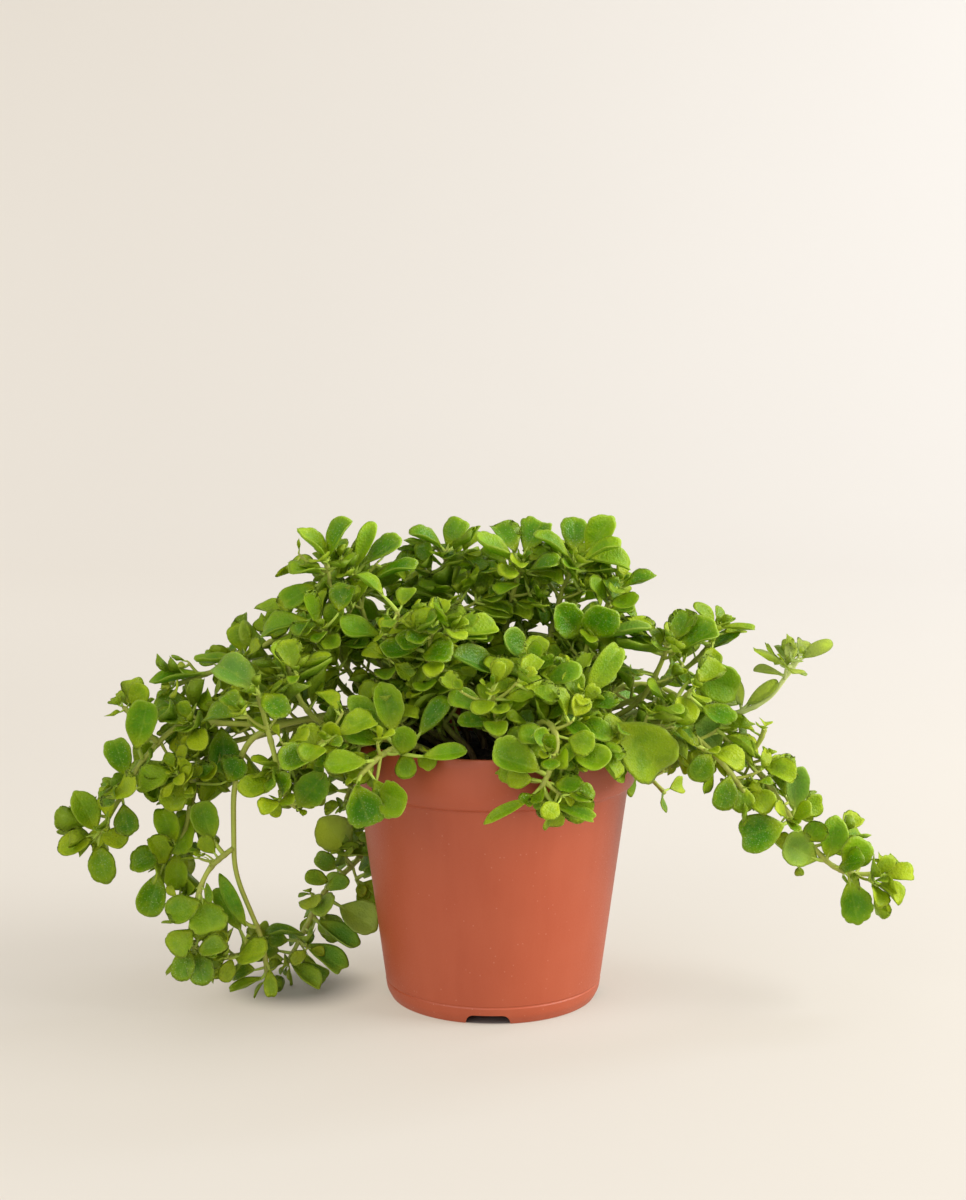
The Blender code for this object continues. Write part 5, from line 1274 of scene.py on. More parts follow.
def blade_surface(leaves, looks, teeth, wedge_steps, rings, lower_rings):
    """Closed cupped blades for a list of leaves, each a fan of rings round its middle.

    A point's height is the cup, cup * y^2 * width, deeper in young and in large leaves, plus a fold near
    the base, fold * |y| * (1 - x)^2 * width, plus the bend, curl * x^2 * length, plus a hook of the
    tip, hook * max(x - 0.6, 0)^2 * length, less a groove along the midrib, plus a wave of two to four
    humps round the rim and a roll of the rim, roll * reach^5 * width.
    The upper and the lower face stand off by half the thickness * sqrt(1 - ring^6), so that they meet
    in a thin rim.
    """
    angles = outline_angles(teeth, wedge_steps)
    count = len(angles)
    size = len(leaves)
    draw = np.random.default_rng(LEAF_SEED + teeth)

    def drawn(low, high):
        """A number of its own for every leaf."""
        return draw.uniform(low, high, (size, 1, 1))

    phase = drawn(0, math.tau)
    skew = drawn(-0.16, 0.16)
    blunt = drawn(0.12, 0.45)
    depth = drawn(0.15, 1.0) * TOOTH_DEPTH
    twist = drawn(-0.25, 0.25)
    cut = drawn(-0.05, 0.1)
    hook = drawn(-0.9, 0.9)
    fold = drawn(0.1, 0.45)
    roll = drawn(-0.05, 0.09)
    humps = draw.integers(2, 5, (size, 1, 1))
    deep = drawn(0.9, 1.9)
    ages, tint, pale = looks.T[..., None, None]
    sizes = np.array([(leaf.length, leaf.width, leaf.curl) for leaf in leaves])
    length, width, curl = sizes.T[..., None, None]
    ways = np.array([(leaf.base, leaf.along, leaf.normal) for leaf in leaves])
    base, along, normal = ways.swapaxes(0, 1)[:, :, None, None]
    side = np.cross(normal, along)
    depth = depth * np.clip(2 * width / length - 0.6, 0.15, 1)
    rim_x, rim_y = blade_outline(teeth, angles, blunt, depth, cut)
    cup = CUP * (1 + YOUNG_CUP * (1 - ages)) * deep * np.clip(0.075 * length, 0.6, 1.25)
    thickness = FINE_THICKNESS * np.clip(length / 11, 0.7, 1.15)

    def spread(reaches, face):
        """Points and map places of the hub and the rings on one face of every blade."""
        reach = np.array((0,) + reaches)[None, :, None]
        x = BLADE_MIDDLE + reach * (rim_x - BLADE_MIDDLE)
        y = reach * rim_y * (1 + skew * rim_x)
        wave = FINE_WAVE * np.sin(humps * angles + phase) * reach ** 2 * np.sin(angles / 2) ** 2
        groove = MIDRIB_DEPTH * np.exp(-(y / 0.1) ** 2) * (1 - reach ** 4)
        lift = face * thickness / 2 * np.sqrt(1 - reach ** 6)
        fine = wave - groove + twist * x * y + fold * np.abs(y) * (1 - x) ** 2 + roll * reach ** 5
        bend = curl * x ** 2 + hook * np.maximum(x - 0.6, 0) ** 2
        height = (cup * y ** 2 + fine) * width + bend * length + lift
        place = (base + (x * length)[..., None] * along + (y * width)[..., None] * side
                 + height[..., None] * normal)
        none = 0 * x
        packed = [none + ages, none + tint, none + reach, none + pale, x, y + 0.5]
        packed = np.concatenate([place, np.stack(packed, axis=-1)], axis=-1)
        hub = packed[:, 0, :1]
        return np.concatenate([hub, packed[:, 1:].reshape(size, -1, packed.shape[-1])], axis=1)

    packed = np.concatenate([spread(rings, 1), spread(lower_rings, -1)], axis=1)
    per_leaf = packed.shape[1]
    rim = 1 + (len(rings) - 1) * count
    hub = 1 + len(rings) * count
    starts = [1 + i * count for i in range(len(rings))]
    lower_starts = [hub + 1 + i * count for i in range(len(lower_rings))] + [rim]

    upper_quads = bands(starts, count)
    lower_quads = bands(lower_starts, count)[:, ::-1]
    triangles = np.concatenate([fan(0, starts[0], count), fan(hub, lower_starts[0], count)[:, ::-1]])
    quads = np.concatenate([upper_quads, lower_quads])
    offset = (np.arange(size) * per_leaf)[:, None, None]
    return Surface(
        packed[..., :3].reshape(-1, 3), (triangles + offset).reshape(-1, 3), (quads + offset).reshape(-1, 4),
        packed[..., 3:7].reshape(-1, 4), packed[..., 7:].reshape(-1, 2),
        np.tile(np.repeat([LEAF_TOP, LEAF_BACK], count), size),
        np.tile(np.repeat([LEAF_TOP, LEAF_BACK], [len(upper_quads), len(lower_quads)]), size))


def tube_surface(routes, radii, sides, marks):
    """Closed round tubes along many routes: each point is route + radius * (cos * side + sin * up).

    Side and up are square to the route and are carried along it without a twist. A fan closes each
    end. The marks are given for each step of each route.
    """
    count, steps, _ = routes.shape
    ahead = unit_rows(np.gradient(routes, axis=1))
    lean = np.where(np.abs(ahead[:, 0, 1:2]) > 0.8, (1.0, 0.1, 0.2), (0.2, 1.0, 0.3))
    side = np.empty_like(routes)
    for i in range(steps):
        lean = unit_rows(lean - ahead[:, i] * (lean * ahead[:, i]).sum(axis=1, keepdims=True))
        side[:, i] = lean
    up = np.cross(ahead, side)
    angle = np.arange(sides) * math.tau / sides
    ring = np.cos(angle)[:, None] * side[:, :, None] + np.sin(angle)[:, None] * up[:, :, None]
    points = (routes[:, :, None] + radii[:, :, None, None] * ring).reshape(count, -1, 3)
    points = np.concatenate([points, routes[:, :1], routes[:, -1:]], axis=1)
    marks = np.concatenate([np.repeat(marks, sides, axis=1), marks[:, :1], marks[:, -1:]], axis=1)
    starts = np.arange(steps) * sides
    low = fan(steps * sides, 0, sides)
    high = fan(steps * sides + 1, starts[-1], sides)[:, [0, 2, 1]]
    offset = (np.arange(count) * points.shape[1])[:, None, None]
    triangles = (np.concatenate([low, high]) + offset).reshape(-1, 3)
    quads = (bands(starts, sides) + offset).reshape(-1, 4)
    points = points.reshape(-1, 3)
    return Surface(points, triangles, quads, marks.reshape(-1, 4), np.zeros((len(points), 2)),
                   np.full(len(triangles), STEM_SKIN), np.full(len(quads), STEM_SKIN))


def stalk_surface(leaves, feet, pale):
    """Leaf stalks: Bezier curves from inside the stem to under each blade's base.

    At a share t of its way a stalk is 1 - 0.25 * t - 0.6 * t ** 4 of its radius at the stem, which
    is larger on longer leaves.
    """
    base = np.array([leaf.base for leaf in leaves])
    along = np.array([leaf.along for leaf in leaves])
    normal = np.array([leaf.normal for leaf in leaves])
    length = np.array([leaf.length for leaf in leaves])[:, None]
    stop = base + STALK_HOLD * length * along - 0.1 * FINE_THICKNESS * normal
    gap = np.linalg.norm(stop - feet, axis=1, keepdims=True)
    leave = feet + 0.35 * gap * unit_rows(base - feet)
    enter = stop - 0.4 * gap * along
    t = np.linspace(0, 1, STALK_STEPS)[:, None]
    route = ((1 - t) ** 3 * feet[:, None] + 3 * (1 - t) ** 2 * t * leave[:, None]
             + 3 * (1 - t) * t ** 2 * enter[:, None] + t ** 3 * stop[:, None])
    thin = 1 - 0.25 * t[:, 0] - 0.6 * t[:, 0] ** 4
    radii = STALK_RADIUS * thin * np.clip(length / 13, 0.5, 1.2)
    marks = np.zeros((len(leaves), STALK_STEPS, 4))
    marks[..., 0] = STALK_MARK * (1 - t[:, 0])
    marks[..., 3] = pale
    return tube_surface(route, radii, STALK_SIDES, marks)


def relaxed_route(stem):
    """A stem's corners joined by a curve: straight runs, evened out by repeated averaging."""
    route = evenly(stem.corners, STEM_MESH_STEP, 6)
    for _ in range(RELAX_ROUNDS):
        route[1:-1] = (route[:-2] + 2 * route[1:-1] + route[2:]) / 4
    return route


def stem_surface(stem, route, feet, pale):
    """A stem as a round tube that thins to its tip and swells at each foot of a leaf.

    The swelling adds NODE_SWELL * exp(-(distance / SWELL_REACH)^2) of the radius. A rooted stem is brown
    and old at the soil and greener further along it.
    """
    lengths = arc_lengths(route)
    share = lengths / lengths[-1]
    radii = FINE_STEM_SHARE * (stem.radii[0] + (stem.radii[-1] - stem.radii[0]) * share)
    apart = np.full(len(route), np.inf)
    if len(feet):
        nearest = lengths[gaps(route, feet).argmin(axis=0)]
        apart = np.abs(lengths[:, None] - nearest[None]).min(axis=1)
    swell = np.exp(-(apart / SWELL_REACH) ** 2)
    radii = radii * (1 + NODE_SWELL * swell)
    radii[-1] *= 0.6
    old = GREEN_STEM_MARK
    if stem.collar:
        old = np.clip(OLD_STEM_MARK - lengths / OLD_STEM_LENGTH, GREEN_STEM_MARK, 1)
    marks = np.zeros((1, len(route), 4))
    marks[0, :, 0] = old
    marks[0, :, 1] = swell
    marks[0, :, 3] = pale
    return tube_surface(route[None], radii[None], STEM_SIDES, marks)


def leaf_looks(name, stems, leaves):
    """A row for each leaf of a spray: its age, its tint towards deep green and its paleness.

    The age is 0.55 * (length - 5) / 11 + 0.6 * (distance from the nearest tip - 1) / 14, less out on
    the trails. Tint and paleness are drawn. A chosen leaf's own looks then take their place.
    """
    count = len(leaves)
    starts = np.array([leaf.start for leaf in leaves])
    lengths = np.array([leaf.length for leaf in leaves])
    from_tip = gaps(starts, np.array([stem.route[-1] for stem in stems])).min(axis=1)
    from_axis = np.hypot(starts[:, 0], starts[:, 1])
    ages = 0.55 * (lengths - 5) / 11 + 0.6 * np.clip(from_tip - 1, 0, 14) / 14
    ages = np.clip(ages - TRAIL_YOUTH * np.clip((from_axis - 40) / 50, 0, 1), 0, 1)
    draw = np.random.default_rng(LEAF_SEED + count)
    tints = draw.uniform(0, 1, count)
    paleness = PALE_SPRAYS.get(name, 0) * draw.uniform(0.4, 1, count)
    looks = np.stack([ages, tints, paleness], axis=1)
    for number, look in LEAF_LOOKS.get(name, {}).items():
        looks[number] = look
    return looks


def spray_piece(name, stems, leaves, skins):
    """A rooted stem with its side shoots, stalks and leaves, as one finer piece for its node."""
    routes = [relaxed_route(stem) for stem in stems]
    starts = np.array([leaf.start for leaf in leaves])
    owner = np.array([gaps(route, starts).min(axis=0) for route in routes]).argmin(axis=0)
    feet = np.array([routes[i][np.linalg.norm(routes[i] - start, axis=1).argmin()]
                     for i, start in zip(owner, starts)])
    pale = PALE_SPRAYS.get(name, 0)
    surfaces = [stem_surface(stem, route, feet[owner == i], pale)
                for i, (stem, route) in enumerate(zip(stems, routes))]
    surfaces.append(stalk_surface(leaves, feet, pale))
    looks = leaf_looks(name, stems, leaves)
    lengths = np.array([leaf.length for leaf in leaves])
    for shortest, longest, *shape in BLADE_GRADES:
        grade = ((lengths >= shortest) & (lengths < longest)).nonzero()[0]
        if len(grade):
            surfaces.append(blade_surface([leaves[i] for i in grade], looks[grade], *shape))
    piece = made_piece(name + "_foliage", surfaces, skins)
    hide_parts(name)


def made_piece(name, surfaces, skins):
    """One mesh object in metres from surfaces in millimetres, riding on the one body."""

    def joined(*fields):
        """One array of these fields of all the surfaces, one field after another."""
        return np.concatenate([getattr(surface, field) for field in fields for surface in surfaces])

    offsets = np.cumsum([0] + [len(surface.points) for surface in surfaces[:-1]])
    triangles = np.concatenate([surface.triangles + offset for surface, offset in zip(surfaces, offsets)])
    quads = np.concatenate([surface.quads + offset for surface, offset in zip(surfaces, offsets)])
    points = joined("points") * MM
    corners = np.concatenate([triangles.ravel(), quads.ravel()])
    starts = np.concatenate([3 * np.arange(len(triangles)), 3 * len(triangles) + 4 * np.arange(len(quads))])
    mesh = bpy.data.meshes.new(name)
    mesh.vertices.add(len(points))
    mesh.vertices.foreach_set("co", points.ravel())
    mesh.loops.add(len(corners))
    mesh.loops.foreach_set("vertex_index", corners)
    mesh.polygons.add(len(starts))
    mesh.polygons.foreach_set("loop_start", starts)
    mesh.polygons.foreach_set("material_index", joined("triangle_skins", "quad_skins"))
    mesh.polygons.foreach_set("use_smooth", np.ones(len(starts), bool))
    mesh.update(calc_edges=True)
    marks = mesh.attributes.new("growth", "FLOAT_COLOR", "POINT")
    marks.data.foreach_set("color", joined("marks").ravel())
    layer = mesh.uv_layers.new(name="surface")
    layer.data.foreach_set("uv", joined("places")[corners].ravel())
    for skin in skins:
        mesh.materials.append(skin)
    piece = bpy.data.objects.new(name, mesh)
    bpy.context.scene.collection.objects.link(piece)
    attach(piece, "root")
    return piece


def rounded_section(corners):
    """A half section whose corners are bends: each a Bezier curve that starts a fillet before it."""
    points = []
    places = np.array([(r, z) for r, z, _ in corners], float)
    for i, (_, _, fillet) in enumerate(corners):
        if fillet == 0:
            points.append(places[i])
            continue
        back = places[i - 1] - places[i]
        on = places[i + 1] - places[i]
        enter = places[i] + back * min(0.45, fillet / np.linalg.norm(back))
        leave = places[i] + on * min(0.45, fillet / np.linalg.norm(on))
        t = np.linspace(0, 1, BEND_STEPS)[:, None]
        points += list((1 - t) ** 2 * enter + 2 * t * (1 - t) * places[i] + t ** 2 * leave)
    return np.array(points)


def turned_surface(section, segments):
    """A half section carried once round the Z axis, x = r * cos(turn) and y = r * sin(turn).

    It starts and ends on the axis, where a fan closes it.
    """
    turn = np.arange(segments) * math.tau / segments
    rows = section[1:-1]
    ring = np.stack([rows[:, :1] * np.cos(turn), rows[:, :1] * np.sin(turn),
                     rows[:, 1:] + 0 * turn], axis=-1).reshape(-1, 3)
    poles = np.array([(0, 0, section[0, 1]), (0, 0, section[-1, 1])])
    points = np.concatenate([ring, poles])
    starts = np.arange(len(rows)) * segments
    first_fan = fan(len(ring), 0, segments)[:, [0, 2, 1]]
    last_fan = fan(len(ring) + 1, starts[-1], segments)
    quads = bands(starts, segments)[:, [0, 3, 2, 1]]
    return plain_surface(points, np.concatenate([first_fan, last_fan]), quads)


def plain_surface(points, triangles, quads):
    """A surface with no marks of its own and one skin."""
    return Surface(points, triangles, quads, np.zeros((len(points), 4)), np.zeros((len(points), 2)),
                   np.zeros(len(triangles), int), np.zeros(len(quads), int))


def pot_section():
    """The pot's half section: the solid's, with bends, a rolled lip and the fine line near its foot."""
    band_low = POT_HEIGHT - RIM_BAND_HEIGHT
    foot_inner = FOOT_RADIUS - FOOT_WIDTH
    line_radius = BODY_RADIUS_LOW - 1.2 * (BODY_LOW_HEIGHT - LINE_HEIGHT) / (BODY_LOW_HEIGHT - 3)
    return rounded_section([
        (0, FLOOR_HEIGHT + WALL, 0), (BODY_RADIUS_LOW - WALL - FLOOR_BEND, FLOOR_HEIGHT + WALL, 2),
        (BODY_RADIUS_LOW - WALL, BODY_LOW_HEIGHT, 2), (BODY_RADIUS_TOP - WALL, band_low - WALL, 1.2),
        (RIM_RADIUS - RIM_STEP - WALL, band_low + 1.5, 1.2), (RIM_RADIUS - 0.6 - WALL, POT_HEIGHT, 0.4),
        (RIM_RADIUS - 0.45, POT_HEIGHT, 0.45), (RIM_RADIUS, POT_HEIGHT - 2.5, 1.2),
        (RIM_RADIUS - 0.2, band_low + 5, 3), (RIM_RADIUS - 1.5, band_low + 0.8, 1.2),
        (BODY_RADIUS_TOP, band_low, 0.7), (BODY_RADIUS_LOW, BODY_LOW_HEIGHT, 2),
        (line_radius + 0.02, LINE_HEIGHT + LINE_WIDTH, 0.1), (line_radius - LINE_DEPTH, LINE_HEIGHT, 0.3),
        (line_radius - 0.02, LINE_HEIGHT - LINE_WIDTH, 0.1), (BODY_RADIUS_LOW - 1.2, 3.0, 1),
        (FOOT_RADIUS, 0, 0.5), (foot_inner, 0, 0.3), (foot_inner, FLOOR_HEIGHT, 0.6), (0, FLOOR_HEIGHT, 0),
    ])


def drain_notch(turn):
    """A cutter through the foot ring: a four-sided opening with rounded top corners, carried outwards."""
    low, high = NOTCH_WIDTH_LOW / 2, NOTCH_WIDTH_TOP / 2
    right = rounded_section([(low, -1.0, 0), (high, NOTCH_HEIGHT, NOTCH_FILLET), (0, NOTCH_HEIGHT, 0)])
    opening = np.concatenate([right[:-1], right[-2::-1] * (-1, 1)])
    count = len(opening)
    near = np.column_stack([opening[:, 0], np.full(count, -FOOT_RADIUS - NOTCH_DEPTH / 2), opening[:, 1]])
    far = near + (0, NOTCH_DEPTH, 0)
    points = np.concatenate([near, far])
    points = points @ np.array([[math.cos(turn), math.sin(turn), 0], [-math.sin(turn), math.cos(turn), 0],
                                [0, 0, 1]])
    faces = [tuple(range(count)), tuple(range(2 * count - 1, count - 1, -1))]
    faces += [(i, i + count, (i + 1) % count + count, (i + 1) % count) for i in range(count)]
    return points, faces


def drain_hole(turn):
    """A cutter for a round hole through the pot's floor."""
    angle = np.arange(DRAIN_HOLE_STEPS) * math.tau / DRAIN_HOLE_STEPS
    x = DRAIN_HOLE_REACH * math.sin(turn) + DRAIN_HOLE_RADIUS * np.cos(angle)
    y = -DRAIN_HOLE_REACH * math.cos(turn) + DRAIN_HOLE_RADIUS * np.sin(angle)
    low = np.column_stack([x, y, np.full(DRAIN_HOLE_STEPS, FLOOR_HEIGHT - 3 * WALL)])
    points = np.concatenate([low, low + (0, 0, 6 * WALL)])
    count = DRAIN_HOLE_STEPS
    faces = [tuple(range(count - 1, -1, -1)), tuple(range(count, 2 * count))]
    faces += [(i, (i + 1) % count, (i + 1) % count + count, i + count) for i in range(count)]
    return points, faces


def cut_away(piece, cutters):
    """Cuts shapes, each points and faces, out of a piece and leaves the result in its mesh."""
    helpers = bpy.data.collections.new("drain_cutters")
    bpy.context.scene.collection.children.link(helpers)
    for points, faces in cutters:
        mesh = bpy.data.meshes.new("drain_cutter")
        mesh.from_pydata((points * MM).tolist(), [], faces)
        helpers.objects.link(bpy.data.objects.new("drain_cutter", mesh))
    boolean = piece.modifiers.new("Drains", "BOOLEAN")
    boolean.operation = "DIFFERENCE"
    boolean.operand_type = "COLLECTION"
    boolean.collection = helpers
    bpy.context.view_layer.update()
    evaluated = piece.evaluated_get(bpy.context.evaluated_depsgraph_get())
    mesh = bpy.data.meshes.new_from_object(evaluated)
    piece.modifiers.clear()
    piece.data = mesh
    mesh.set_sharp_from_angle(angle=SHARP_EDGE)
    for helper in list(helpers.objects):
        bpy.data.objects.remove(helper)
    bpy.data.collections.remove(helpers)


def pot_piece():
    """The moulded pot, turned from its section and cut by its drain notches and holes."""
    piece = made_piece("moulded_pot", [turned_surface(pot_section(), POT_STEPS)], [terracotta()])
    turns = [math.radians(NOTCH_TURN + i * 360 / NOTCH_COUNT) for i in range(NOTCH_COUNT)]
    cut_away(piece, [drain_notch(turn) for turn in turns] + [drain_hole(turn) for turn in turns])
    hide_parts("nursery_pot")


def crumb_height(x, y):
    """The height of the soil's crumbs over its crown: 26 sines, each in a direction of its own.

    Their lengths shrink from 9 to 1.4 mm, and each is 0.05 * length ** 0.7 high.
    """
    draw = np.random.default_rng(LEAF_SEED)
    height = 0 * x
    for wave in np.geomspace(9, 1.4, 26):
        turn, phase = draw.uniform(0, math.tau, 2)
        ahead = x * math.cos(turn) + y * math.sin(turn)
        height = height + 0.05 * wave ** 0.7 * np.sin(math.tau / wave * ahead + phase)
    return height


def soil_piece():
    """The potting soil: a turned body whose top is a crumbly crown, with loose crumbs of bark on it."""
    low = FLOOR_HEIGHT + WALL + SOIL_GAP
    band_low = POT_HEIGHT - RIM_BAND_HEIGHT
    edge = RIM_RADIUS - RIM_STEP - WALL - SOIL_GAP
    top = [(r, SOIL_EDGE_HEIGHT) for r in np.linspace(0, edge, SOIL_FINE_RINGS)]
    side = [(edge, band_low + 2.5), (BODY_RADIUS_TOP - WALL - SOIL_GAP, band_low - WALL),
            (BODY_RADIUS_LOW - WALL - SOIL_GAP, BODY_LOW_HEIGHT),
            (BODY_RADIUS_LOW - WALL - FLOOR_BEND - SOIL_GAP, low), (0, low)]
    body = turned_surface(np.array(top + side), SOIL_FINE_STEPS)
    crown = body.points[:, 2] > SOIL_EDGE_HEIGHT - 0.01
    x, y = body.points[crown, 0], body.points[crown, 1]
    calm = 1 - (np.hypot(x, y) / edge) ** 12
    body.points[crown, 2] = soil_height(x, y) + crumb_height(x, y) * calm
    crumbs = bark_crumbs(edge - CRUMB_MARGIN)
    piece = made_piece("potting_soil_bed", [body, crumbs], [potting_mix()])
    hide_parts("potting_soil")


def bark_crumbs(reach):
    """Loose crumbs: twenty-sided balls, each stretched, dented and turned its own way."""
    draw = np.random.default_rng(LEAF_SEED + 1)
    golden = (1 + math.sqrt(5)) / 2
    ball = []
    for a in (-1, 1):
        for b in (-golden, golden):
            ball += [(0, a, b), (a, b, 0), (b, 0, a)]
    ball = unit_rows(np.array(ball, float))
    apart = gaps(ball, ball)
    edge = apart[apart > 0.1].min() + 0.01
    faces = [(i, j, k) for i in range(12) for j in range(i) for k in range(j)
             if max(apart[i, j], apart[j, k], apart[i, k]) < edge]
    faces = [face if np.linalg.det(ball[list(face)]) > 0 else face[::-1] for face in faces]
    dent = draw.uniform(0.75, 1.2, (CRUMB_COUNT, 12, 1))
    stretch = draw.uniform(0.5, 1.0, (CRUMB_COUNT, 1, 3)) * draw.uniform(0.4, 1.5, (CRUMB_COUNT, 1, 1)) ** 1.5
    turns = np.linalg.qr(draw.normal(size=(CRUMB_COUNT, 3, 3)))[0]
    turns *= np.sign(np.linalg.det(turns))[:, None, None]
    radius = reach * np.sqrt(draw.uniform(0, 1, CRUMB_COUNT))
    angle = draw.uniform(0, math.tau, CRUMB_COUNT)
    x, y = radius * np.cos(angle), radius * np.sin(angle)
    place = np.stack([x, y, soil_height(x, y) + crumb_height(x, y) + 0.1], axis=1)
    points = (ball * dent * stretch) @ turns + place[:, None]
    offset = (np.arange(CRUMB_COUNT) * 12)[:, None, None]
    triangles = (np.array(faces) + offset).reshape(-1, 3)
    crumbs = plain_surface(points.reshape(-1, 3), triangles, np.zeros((0, 4), int))
    crumbs.marks[:, 0] = np.repeat(draw.uniform(0, 1, CRUMB_COUNT), 12)
    return crumbs


class Skin:
    """A procedural material in the making, with short ways to add and join its nodes."""

    def __init__(self, name, **finish):
        self.material = bpy.data.materials.new(name)
        self.material.use_nodes = True
        self.tree = self.material.node_tree
        self.shader = self.tree.nodes["Principled BSDF"]
        self.output = self.tree.nodes["Material Output"]
        for socket, value in finish.items():
            self.shader.inputs[socket.replace("_", " ")].default_value = value
        self.place = self.node("TexCoord").outputs["Object"]

    def node(self, kind, inputs=(), **settings):
        """A node with its settings. Each input is joined to an output or set to a value."""
        made = self.tree.nodes.new("ShaderNode" + kind)
        for name, value in settings.items():
            setattr(made, name, value)
        for name, value in dict(inputs).items():
            self.join(value, made.inputs[name])
        return made

    def join(self, value, socket):
        """Links an output to a socket, or sets the socket to a value."""
        if isinstance(value, bpy.types.NodeSocket):
            self.tree.links.new(value, socket)
        else:
            socket.default_value = value

    def noise(self, size, detail=3.0, stretch=(1, 1, 1)):
        """Noise whose lumps are about a size in millimetres, drawn out by a stretch."""
        scale = tuple(1 / (size * MM * part) for part in stretch)
        place = self.node("Mapping", {"Vector": self.place, "Scale": scale}).outputs[0]
        return self.node("TexNoise", {"Vector": place, "Scale": 1.0, "Detail": detail}).outputs["Fac"]

    def cells(self, size):
        """Distance from the middle of irregular cells about a size in millimetres across."""
        return self.node("TexVoronoi", {"Vector": self.place, "Scale": 1 / (size * MM)}).outputs["Distance"]

    def marks(self):
        """The piece's own four marks, from its growth attribute."""
        growth = self.node("Attribute", attribute_name="growth").outputs
        return [*self.node("SeparateColor", {"Color": growth["Color"]}).outputs, growth["Alpha"]]

    def math(self, operation, first, second=0.0, clamp=False):
        """The result of a sum or the like on one or two values."""
        return self.node("Math", {0: first, 1: second}, operation=operation, use_clamp=clamp).outputs[0]

    def between(self, value, low, high, out_low=0.0, out_high=1.0):
        """A value mapped smoothly from one range to another."""
        inputs = {"Value": value, "From Min": low, "From Max": high, "To Min": out_low, "To Max": out_high}
        return self.node("MapRange", inputs, interpolation_type="SMOOTHSTEP").outputs[0]

    def mix(self, share, first, second):
        """Two colours mixed by a share."""
        made = self.node("Mix", data_type="RGBA")
        for value, socket in ((share, made.inputs[0]), (first, made.inputs[6]), (second, made.inputs[7])):
            self.join(value, socket)
        return made.outputs[2]

    def bump(self, height, strength, depth, under=None):
        """A surface relief of a depth in millimetres."""
        inputs = {"Height": height, "Strength": strength, "Distance": depth * MM}
        if under:
            inputs["Normal"] = under
        return self.node("Bump", inputs).outputs[0]

    def finish(self, colour, roughness, normal):
        """Joins the colour, roughness and relief to the shader."""
        self.join(colour, self.shader.inputs["Base Color"])
        self.join(roughness, self.shader.inputs["Roughness"])
        self.join(normal, self.shader.inputs["Normal"])
        return self.material


def shade(red, green, blue):
    """A colour with full cover."""
    return (red, green, blue, 1.0)


def leaf_skin(name, young, old, deep, see_through):
    """Fleshy leaf tissue: greener with age, with veins, a pale rim and a pebbled dull gloss.

    Each leaf has its own age and tint. Light that falls on one side glows through to the other.
    The pale rim is painted light: the blade lightens towards it, and a painted highlight lines it.
    Pale specks are partly the leaf's own speckle and partly painted sparkle, and paleness is partly
    painted backlight.
    """
    skin = Skin(name, Specular_IOR_Level=0.28)
    age, tint, rim, paleness = skin.marks()
    flat = skin.node("SeparateXYZ", {"Vector": skin.node("UVMap", uv_map="surface").outputs[0]}).outputs
    aside = skin.math("ABSOLUTE", skin.math("SUBTRACT", flat[1], 0.5))
    colour = skin.mix(age, young, old)
    colour = skin.mix(skin.between(tint, 0.15, 1.0, 0.0, 0.85), colour, deep)
    colour = skin.mix(skin.between(flat[0], 0.08, 0.45, 0.6, 0.0), colour, young)
    colour = skin.mix(skin.between(skin.noise(6.0), 0.42, 0.62, 0.0, 0.4), colour, deep)
    colour = skin.mix(skin.between(skin.noise(2.2), 0.5, 0.75, 0.0, 0.25), colour, young)
    midrib = skin.between(aside, 0.012, 0.05, 1.0, 0.0)
    side_vein_place = skin.math("MULTIPLY", flat[0], 0.42)
    side_vein = skin.math("ABSOLUTE", skin.math("SUBTRACT", aside, side_vein_place))
    veins = skin.math("MAXIMUM", midrib, skin.between(side_vein, 0.006, 0.03, 0.3, 0.0))
    colour = skin.mix(skin.math("MULTIPLY", veins, 0.12), colour, VEIN_AND_RIM_HIGHLIGHT_GREEN)
    # Painted light: the blade lightens towards its rim so that it looks lit like a cup, and a painted
    # highlight lines the rim itself
    colour = skin.mix(skin.between(rim, 0.45, 1.0, 0.0, 0.3), colour, young)
    colour = skin.mix(skin.between(rim, 0.9, 1.0, 0.0, 0.75), colour, VEIN_AND_RIM_HIGHLIGHT_GREEN)
    glossy = skin.between(tint, 0.7, 0.8, 0.0, 1.0)
    # Pale specks: partly the leaf's own speckle, partly painted sparkle, more on the glossy leaves
    speckle_and_painted_sparkle = skin.between(skin.cells(0.9), 0.1, 0.3, 1.0, 0.0)
    speckle_and_painted_sparkle = skin.math("MULTIPLY", speckle_and_painted_sparkle, skin.between(glossy, 0.0, 1.0, 0.2, 0.5))
    colour = skin.mix(speckle_and_painted_sparkle, colour, PALE_GREEN)
    # Paleness: partly a leaf's own pale tone, partly painted backlight for light that shines through it
    colour = skin.mix(paleness, colour, PALE_GREEN)
    pebbles = skin.bump(skin.cells(0.8), 0.85, 0.24)
    relief = skin.bump(veins, 0.25, -0.12, pebbles)
    dull = skin.between(skin.noise(1.5), 0.3, 0.7, 0.38, 0.56)
    roughness = skin.math("SUBTRACT", dull, skin.math("MULTIPLY", glossy, 0.12))
    material = skin.finish(colour, roughness, relief)
    glow_colour = skin.mix(0.55, colour, skin.mix(age, YOUNG_GLOW, OLD_GLOW))
    glow = skin.node("BsdfTranslucent", {"Color": glow_colour, "Normal": relief})
    thin = skin.between(paleness, 0.0, 1.0, see_through, PALE_SEE_THROUGH)
    blend = skin.node("MixShader", {"Fac": thin, 1: skin.shader.outputs[0], 2: glow.outputs[0]})
    skin.join(blend.outputs[0], skin.output.inputs["Surface"])
    return material


